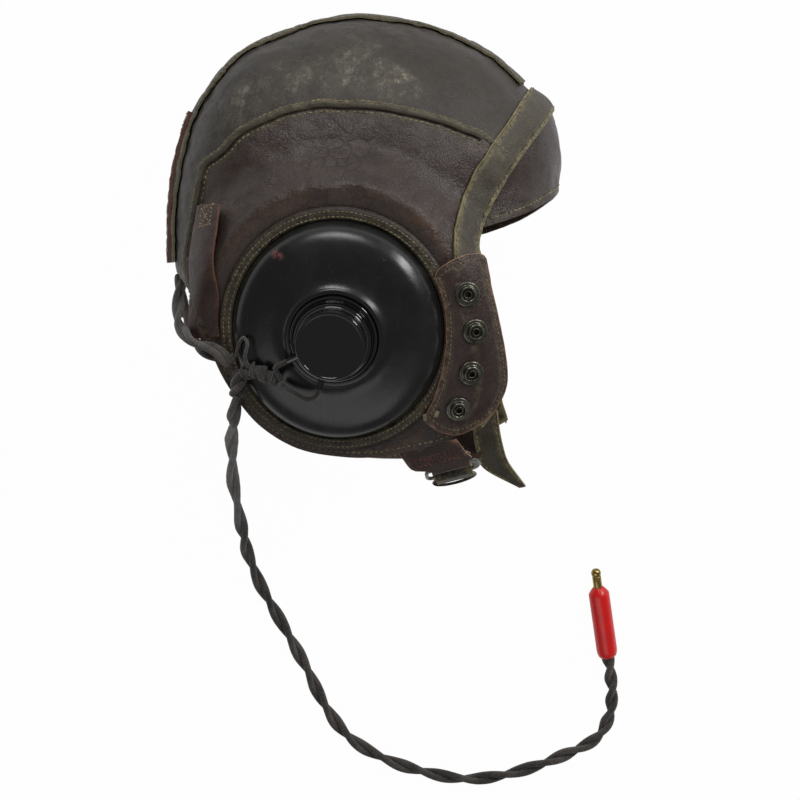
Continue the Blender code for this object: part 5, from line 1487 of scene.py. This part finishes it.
def make_buckle(finish, steps=14):
    """A bent wire loop, pressed flat at its forward end."""
    half, deep = BAR_ALONG * 0.0150, BAR_ACROSS * BUCKLE_DEEP
    corners = [BAR - half, BAR + half, BAR + half + deep, BAR - half + deep]
    loop = [Vector(p) for p in rounded(corners, BUCKLE_CORNER, 8)]
    points = []
    for k, place in enumerate(loop):
        along = unit(loop[(k + 1) % len(loop)] - loop[k - 1])
        side = unit(BAR_OUT - along * BAR_OUT.dot(along))
        flat = float(smoothstep(((place - BAR).dot(BAR_ALONG) - 0.0095) / 0.0045))
        thin, wide = side * (WIRE * (1 - 0.25 * flat)), along.cross(side) * (WIRE * (1 + 1.1 * flat))
        points += [place + thin * c + wide * s for c, s in circle(steps)]
    buckle = add_mesh("wire_buckle", points, ring_faces(len(loop), steps), finish["frame"], 60.0)
    keep(buckle, "gunmetal", "buckle_frame")


def make_strap(finish):
    """The strap comes up from the left, turns round the buckle's low bar and passes a keeper."""
    bar = BAR + BAR_ACROSS * BUCKLE_DEEP + BAR_ALONG * 0.0006
    turn = arc(bar, WIRE + CLEAR + STRAP_THICK / 2, BAR_OUT, -BAR_ACROSS)
    way = [on_head(share) for share in STRAP_WAY]
    back = [on_head(share) for share in STRAP_BACK]
    route = [*dense(smooth([*way, turn[0]], 6))[:-1], *turn, *dense(smooth([turn[-1], *back], 4))[1:]]
    rows = [(share, 0.02, 0.98) for share in (-0.80, 0.80, 0.30, -0.30)]
    widths = [STRAP_WIDTH] * len(route)
    strap = ribbon("chin_strap_leather", route, BAR_ALONG, widths, STRAP_THICK, finish["strap"], rows)
    keep(strap, "leather_olive", "chin_strap")

    centre = way[2].lerp(way[3], 0.9)
    run = unit(way[4] - way[2])
    through = unit(run.cross(BAR_ALONG))
    loop = [centre + BAR_ALONG * (0.0128 * c) + through * (0.0026 * s) for c, s in circle(44)]
    points = []
    for k, place in enumerate(loop):
        outward = unit(unit(loop[(k + 1) % len(loop)] - loop[k - 1]).cross(run))
        for a, b in ((-1, -1), (1, -1), (1, 1), (-1, 1)):
            points.append(place + run * (a * 0.0045) + outward * (b * 0.0006))
    keeper = add_mesh("strap_keeper", points, ring_faces(len(loop), 4), finish["red"])
    set_values(keeper, "edge_mm", np.full(len(points), 1.0))
    set_values(keeper, "seam_mm", np.full(len(points), UNWORN))
    keep(keeper, "leather_red")


def make_band_end(finish):
    """The left end of the front band comes out below the jaw and hangs free."""
    across = Vector((0.95, 0.20, 0.24)) * BAND_WIDTH
    rows = smooth([(*on_head(share[:3]), share[3]) for share in HANGING_END], 9)
    route, widths = [row[:3] for row in rows], [row[3] for row in rows]
    sewn = ((-0.76, 0.0, 0.84), (0.76, 0.0, 0.90))
    band = ribbon("hanging_band_end", route, across, widths, SKIN, finish["olive"], sewn)
    keep(band, "leather_olive", "chin_band_end")


# Lead and plug: the lead's route is measured from the floor and the branch's in shares of the head form

LEAD_ROUTE = (
    (-0.0631, -0.0727, 0.2026), (-0.0643, -0.0808, 0.2030), (-0.0659, -0.0915, 0.1960), (-0.0673, -0.1050, 0.1740),
    (-0.0695, -0.1394, 0.1240), (-0.0707, -0.1811, 0.0750), (-0.0689, -0.2207, 0.0330), (-0.0648, -0.2573, 0.0090),
    (-0.0557, -0.2853, 0.0042), (-0.0419, -0.3126, 0.0042), (-0.0274, -0.3423, 0.0042), (-0.0159, -0.3685, 0.0042),
    (-0.0006, -0.3907, 0.0042), (0.0214, -0.4058, 0.0042), (0.0480, -0.4158, 0.0042), (0.0752, -0.4209, 0.0042),
    (0.0998, -0.4180, 0.0042), (0.1224, -0.4108, 0.0042), (0.1430, -0.4015, 0.0042), (0.1584, -0.3921, 0.0043),
    (0.1666, -0.3777, 0.0046), (0.1688, -0.3600, 0.0056), (0.1674, -0.3440, 0.0064), (0.1657, -0.3325, 0.0066),
)
BRANCH = (
    (-0.5593, -0.7458, 0.9573), (-0.6077, -0.6958, 0.9415), (-0.6543, -0.6683, 0.9415), (-0.7293, -0.6483, 0.9512),
    (-0.7830, -0.6017, 0.8244), (-0.8110, -0.5542, 0.6280), (-0.8270, -0.4833, 0.4024), (-0.8287, -0.3958, 0.2012),
    (-0.8245, -0.3100, 0.0000), (-0.8287, -0.3958, -0.2012), (-0.8222, -0.4833, -0.4024), (-0.7938, -0.5583, -0.6098),
    (-0.7782, -0.6208, -0.8293), (-0.7237, -0.6792, -0.9659), (-0.6235, -0.7208, -1.0061), (-0.5027, -0.7583, -1.0793),
    (-0.3860, -0.7917, -1.1646), (-0.2777, -0.8208, -1.2317),
)
# Places round the right ear, forward, up and out from its axis
BUNDLE = (
    (-0.0532, -0.0236, 0.0200), (-0.0477, -0.0208, 0.0232), (-0.0395, -0.0233, 0.0252), (-0.0330, -0.0260, 0.0262),
)
TAILS = (
    ((-0.0308, -0.0246, 0.0284), (-0.0322, -0.0210, 0.0306), (-0.0336, -0.0176, 0.0322), (-0.0318, -0.0155, 0.0322),
     (-0.0271, -0.0132, 0.0320)),
    ((-0.0306, -0.0286, 0.0266), (-0.0232, -0.0330, 0.0273), (-0.0155, -0.0362, 0.0292), (-0.0098, -0.0336, 0.0312),
     (-0.0083, -0.0289, 0.0320)),
)
TIE = (
    (-0.0500, -0.0185, 0.0262), (-0.0520, -0.0120, 0.0262), (-0.0508, -0.0050, 0.0240), (-0.0538, -0.0022, 0.0205),
    (-0.0572, -0.0080, 0.0170), (-0.0590, -0.0150, 0.0160),
)
KNOTS = ((0.10, 0.0042, 2), (0.34, 0.0041, 1.5), (0.62, 0.0042, 2.5), (0.96, 0.0038, 2))
LEFT_TAILS = (206.0, 254.0)
PLUG_TURN = 98.2
PLUG_START = (0.1656, -0.3322, 0.0066)
SLEEVE_PROFILE = (
    (2.0, 1.5), (3.6, 0.7), (4.2, 0.1), (4.9, 0.1), (5.7, 0.9), (6.35, 2.8), (6.6, 5.0), (6.6, 29.0), (6.6, 44.2),
    (6.45, 44.9), (5.0, 47.0), (3.55, 48.7), (3.2, 49.0), (2.0, 48.9),
)
PIN_PROFILE = (
    (1.5, 48.6), (2.8, 48.6), (2.8, 56.4), (2.65, 56.6), (2.45, 56.8), (2.45, 57.2), (2.75, 57.4), (2.98, 57.9),
    (3.1, 58.8), (3.0, 59.7), (2.6, 60.6), (1.9, 61.3), (1.0, 61.6), (0.3, 61.65),
)


def from_floor(place):
    """A place measured from the floor, in the head's own frame."""
    return Vector(TURN.T @ (np.array(place) - [0.0, 0.0, PLACE.z]))


def winding(route, gap):
    return spaced(smooth(rows_of(route), 10), gap)


def on_ear(route, gap=0.0009):
    return winding([ear_place(place) for place in route], gap)[0]


def level(share):
    return 1.0


def strands(
    name, line, radius, finish, count=2, half_turn=0.027, sides=12, apart=1.0, seed=1, tight=level, uneven=0.05,
    start=0.0,
):
    """Cords that twist round each other along a line, or one cord where the count is 1."""
    line = [Vector(p) for p in line]
    walked = walk(rows_of(line))
    side = tangent(line, 0).orthogonal()
    frames, phases = [], [start]
    for k in range(len(line)):
        along = tangent(line, k)
        side = unit(side - along * side.dot(along))
        frames.append((side, along.cross(side)))
        if k:
            pitch = half_turn * tight(walked[k] / walked[-1])
            phases.append(phases[-1] + math.pi * (walked[k] - walked[k - 1]) / pitch)
    points, faces, wound = [], [], []
    for strand in range(count):
        first = len(points)
        centres = []
        for place, run, phase, (a, b) in zip(line, walked, phases, frames):
            wobble = 1.0 + 2.0 * uneven * noise.noise(Vector((run * 55.0, seed, strand)))
            angle = phase + 2 * math.pi * strand / count + 0.25 * noise.noise(Vector((run * 22.0, seed + 3.0, 0.0)))
            offset = 0.0 if count == 1 else radius * apart * wobble
            centres.append(place + a * (offset * math.cos(angle)) + b * (offset * math.sin(angle)))
        for k, centre in enumerate(centres):
            along = tangent(centres, k)
            a = unit(frames[k][0] - along * frames[k][0].dot(along))
            b = along.cross(a)
            size = radius * (1.0 + uneven * noise.noise(Vector((walked[k] * 140.0, seed + 7.0, 5.0 * strand))))
            points += [centre + a * (size * c) + b * (size * s) for c, s in circle(sides)]
            wound += [(c, s, walked[k] * 1000.0) for c, s in circle(sides)]
        faces += [tuple(v + first for v in face) for face in ring_faces(len(line), sides, False)]
    obj = add_mesh(name, points, faces, finish, 60.0)
    set_vectors(obj.data, "wound", wound)
    return obj


def wrap(name, place, along, reach, thick, turns, finish):
    """A few turns of thin cord bound round a bundle."""
    along = unit(along)
    side = unit(along.orthogonal())
    other = along.cross(side)
    line = []
    for k in range(int(14 * turns) + 1):
        angle = 2 * math.pi * k / 14
        rise = thick * 1.9 * (k / 14 - turns / 2) + 0.25 * reach * math.sin(angle)
        line.append(place + (side * math.cos(angle) + other * math.sin(angle)) * reach + along * rise)
    return strands(name, line, thick, finish["thin_cord"], 1, sides=8, uneven=0.1)


def lead_twist(share):
    """The lead is twisted loosely where it falls and tightly near the plug."""
    falls = float(smoothstep((share - 0.02) / 0.05) * smoothstep((0.40 - share) / 0.10))
    return 1.0 + 2.4 * falls - 0.45 * float(smoothstep((share - 0.80) / 0.16))


def make_leads(finish):
    cord, thin = finish["cord"], finish["thin_cord"]
    route = [from_floor(place) for place in LEAD_ROUTE]
    line, total = winding(route, 0.0014)
    lead = strands("twisted_lead", line, 0.00218, cord, 2, 0.0275, 14, 0.94, 2, lead_twist, start=0.6)
    keep(lead, "cord", "main_lead")
    bundle_line = on_ear(BUNDLE, 0.0010)
    bundle = strands("lead_bundle", bundle_line, 0.0019, cord, 3, 0.0120, apart=1.10, seed=5, uneven=0.15)
    pieces = [keep(bundle, "cord", "lead_bundle_right")]
    for number, way in enumerate(TAILS, 1):
        name = f"receiver_tail_right_{number}"
        tail = strands(name, on_ear(way), 0.0015, thin, 1, sides=10, seed=9 + number, uneven=0.10)
        pieces.append(keep(tail, "cord", f"lead_tail_right_{number}"))
    toward = unit(route[0] - route[1])
    start = Vector(line[0]) + toward * CLEAR
    joint_line = [start + toward * (0.0135 * t) for t in np.linspace(0.0, 1.0, 16)]
    joint = strands("lead_joint", joint_line, 0.0023, cord, 3, 0.012, apart=1.15, seed=12, uneven=0.15)
    pieces.append(keep(joint, "cord", "lead_junction"))
    for number, (share, reach, turns) in enumerate(KNOTS, 1):
        k = int(share * (len(bundle_line) - 2))
        here, after = Vector(bundle_line[k]), Vector(bundle_line[k + 1])
        pieces.append(keep(wrap(f"bundle_knot_{number}", here, after - here, reach, 0.0008, turns, finish), "cord"))
    pieces.append(keep(strands("tie_string", on_ear(TIE), 0.0010, thin, 1, sides=8, seed=31), "cord"))
    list(make_plug(finish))
    line, total = winding([on_head(share) for share in BRANCH], 0.0013)
    branch = strands("left_branch", line, 0.0020, cord, half_turn=0.0330, apart=0.94, seed=17)
    keep(branch, "cord", "lead_branch_left")
    end = Vector(line[-1])
    for number, degrees in enumerate(LEFT_TAILS, 1):
        angle = math.radians(degrees)
        tip = EAR + OUT * 0.0320 + (FORWARD * math.cos(angle) + UP * math.sin(angle)) * (CASE_STEP + 0.0070)
        tip.z = -tip.z
        bow = (end + tip) / 2 + Vector((0.0, -0.004 + 0.003 * number, -0.001))
        way = winding([end, bow, tip], 0.0009)[0]
        tail = strands(f"receiver_tail_left_{number}", way, 0.0013, thin, 1, sides=10, seed=40 + number)
        keep(tail, "cord")


def make_plug(finish, steps=48):
    """The plug lies on the floor, its profiles in millimetres along and out from its axis."""
    turn = math.radians(PLUG_TURN)
    along = Vector((math.cos(turn), math.sin(turn), 0.0))
    side = Vector((-along.y, along.x, 0.0))
    up = Vector((0.0, 0.0, 1.0))
    start = Vector(PLUG_START) - Vector((0.0, 0.0, PLACE.z))
    pieces = []
    for name, profile, kind, slot, nodes in (
        ("red_plug_sleeve", SLEEVE_PROFILE, "plug", "plug_red", ["plug_sleeve"]),
        ("brass_plug_pin", PIN_PROFILE, "brass", "brass", ["plug_shaft", "plug_tip"]),
    ):
        points = []
        for radius, run in profile:
            for c, s in circle(steps):
                spot = start + along * (run * 0.001) + (side * c + up * s) * (radius * 0.001)
                points.append(TURN.T @ np.array(spot))
        piece = add_mesh(name, points, ring_faces(len(profile), steps, False), finish[kind], 50.0)
        pieces.append(keep(piece, slot, *nodes))
    return pieces


def dress_nodes(finish):
    """The solids that stay as they are get their own finish."""
    words = {"lead_tip": "resin", "receiver_cap": "resin", "receiver_diaphragm": "steel", "receiver_magnet": "steel"}
    for name, obj in frame["nodes"].items():
        for start, kind in words.items():
            if name.startswith(start):
                obj.data.materials.clear()
                obj.data.materials.append(finish[kind])


add_camera()
add_lights()
add_floor()
finish = make_finishes()
lay_seams()
for make in (
    make_leads, make_shell, make_lining, make_ears, make_patches, make_snaps, make_tabs,
    make_chin_tab, make_buckle, make_strap, make_band_end,
):
    make(finish)
for name, kind, slot, *measures in THREADS:
    sew(name, finish[kind], slot, *measures)
dress_nodes(finish)
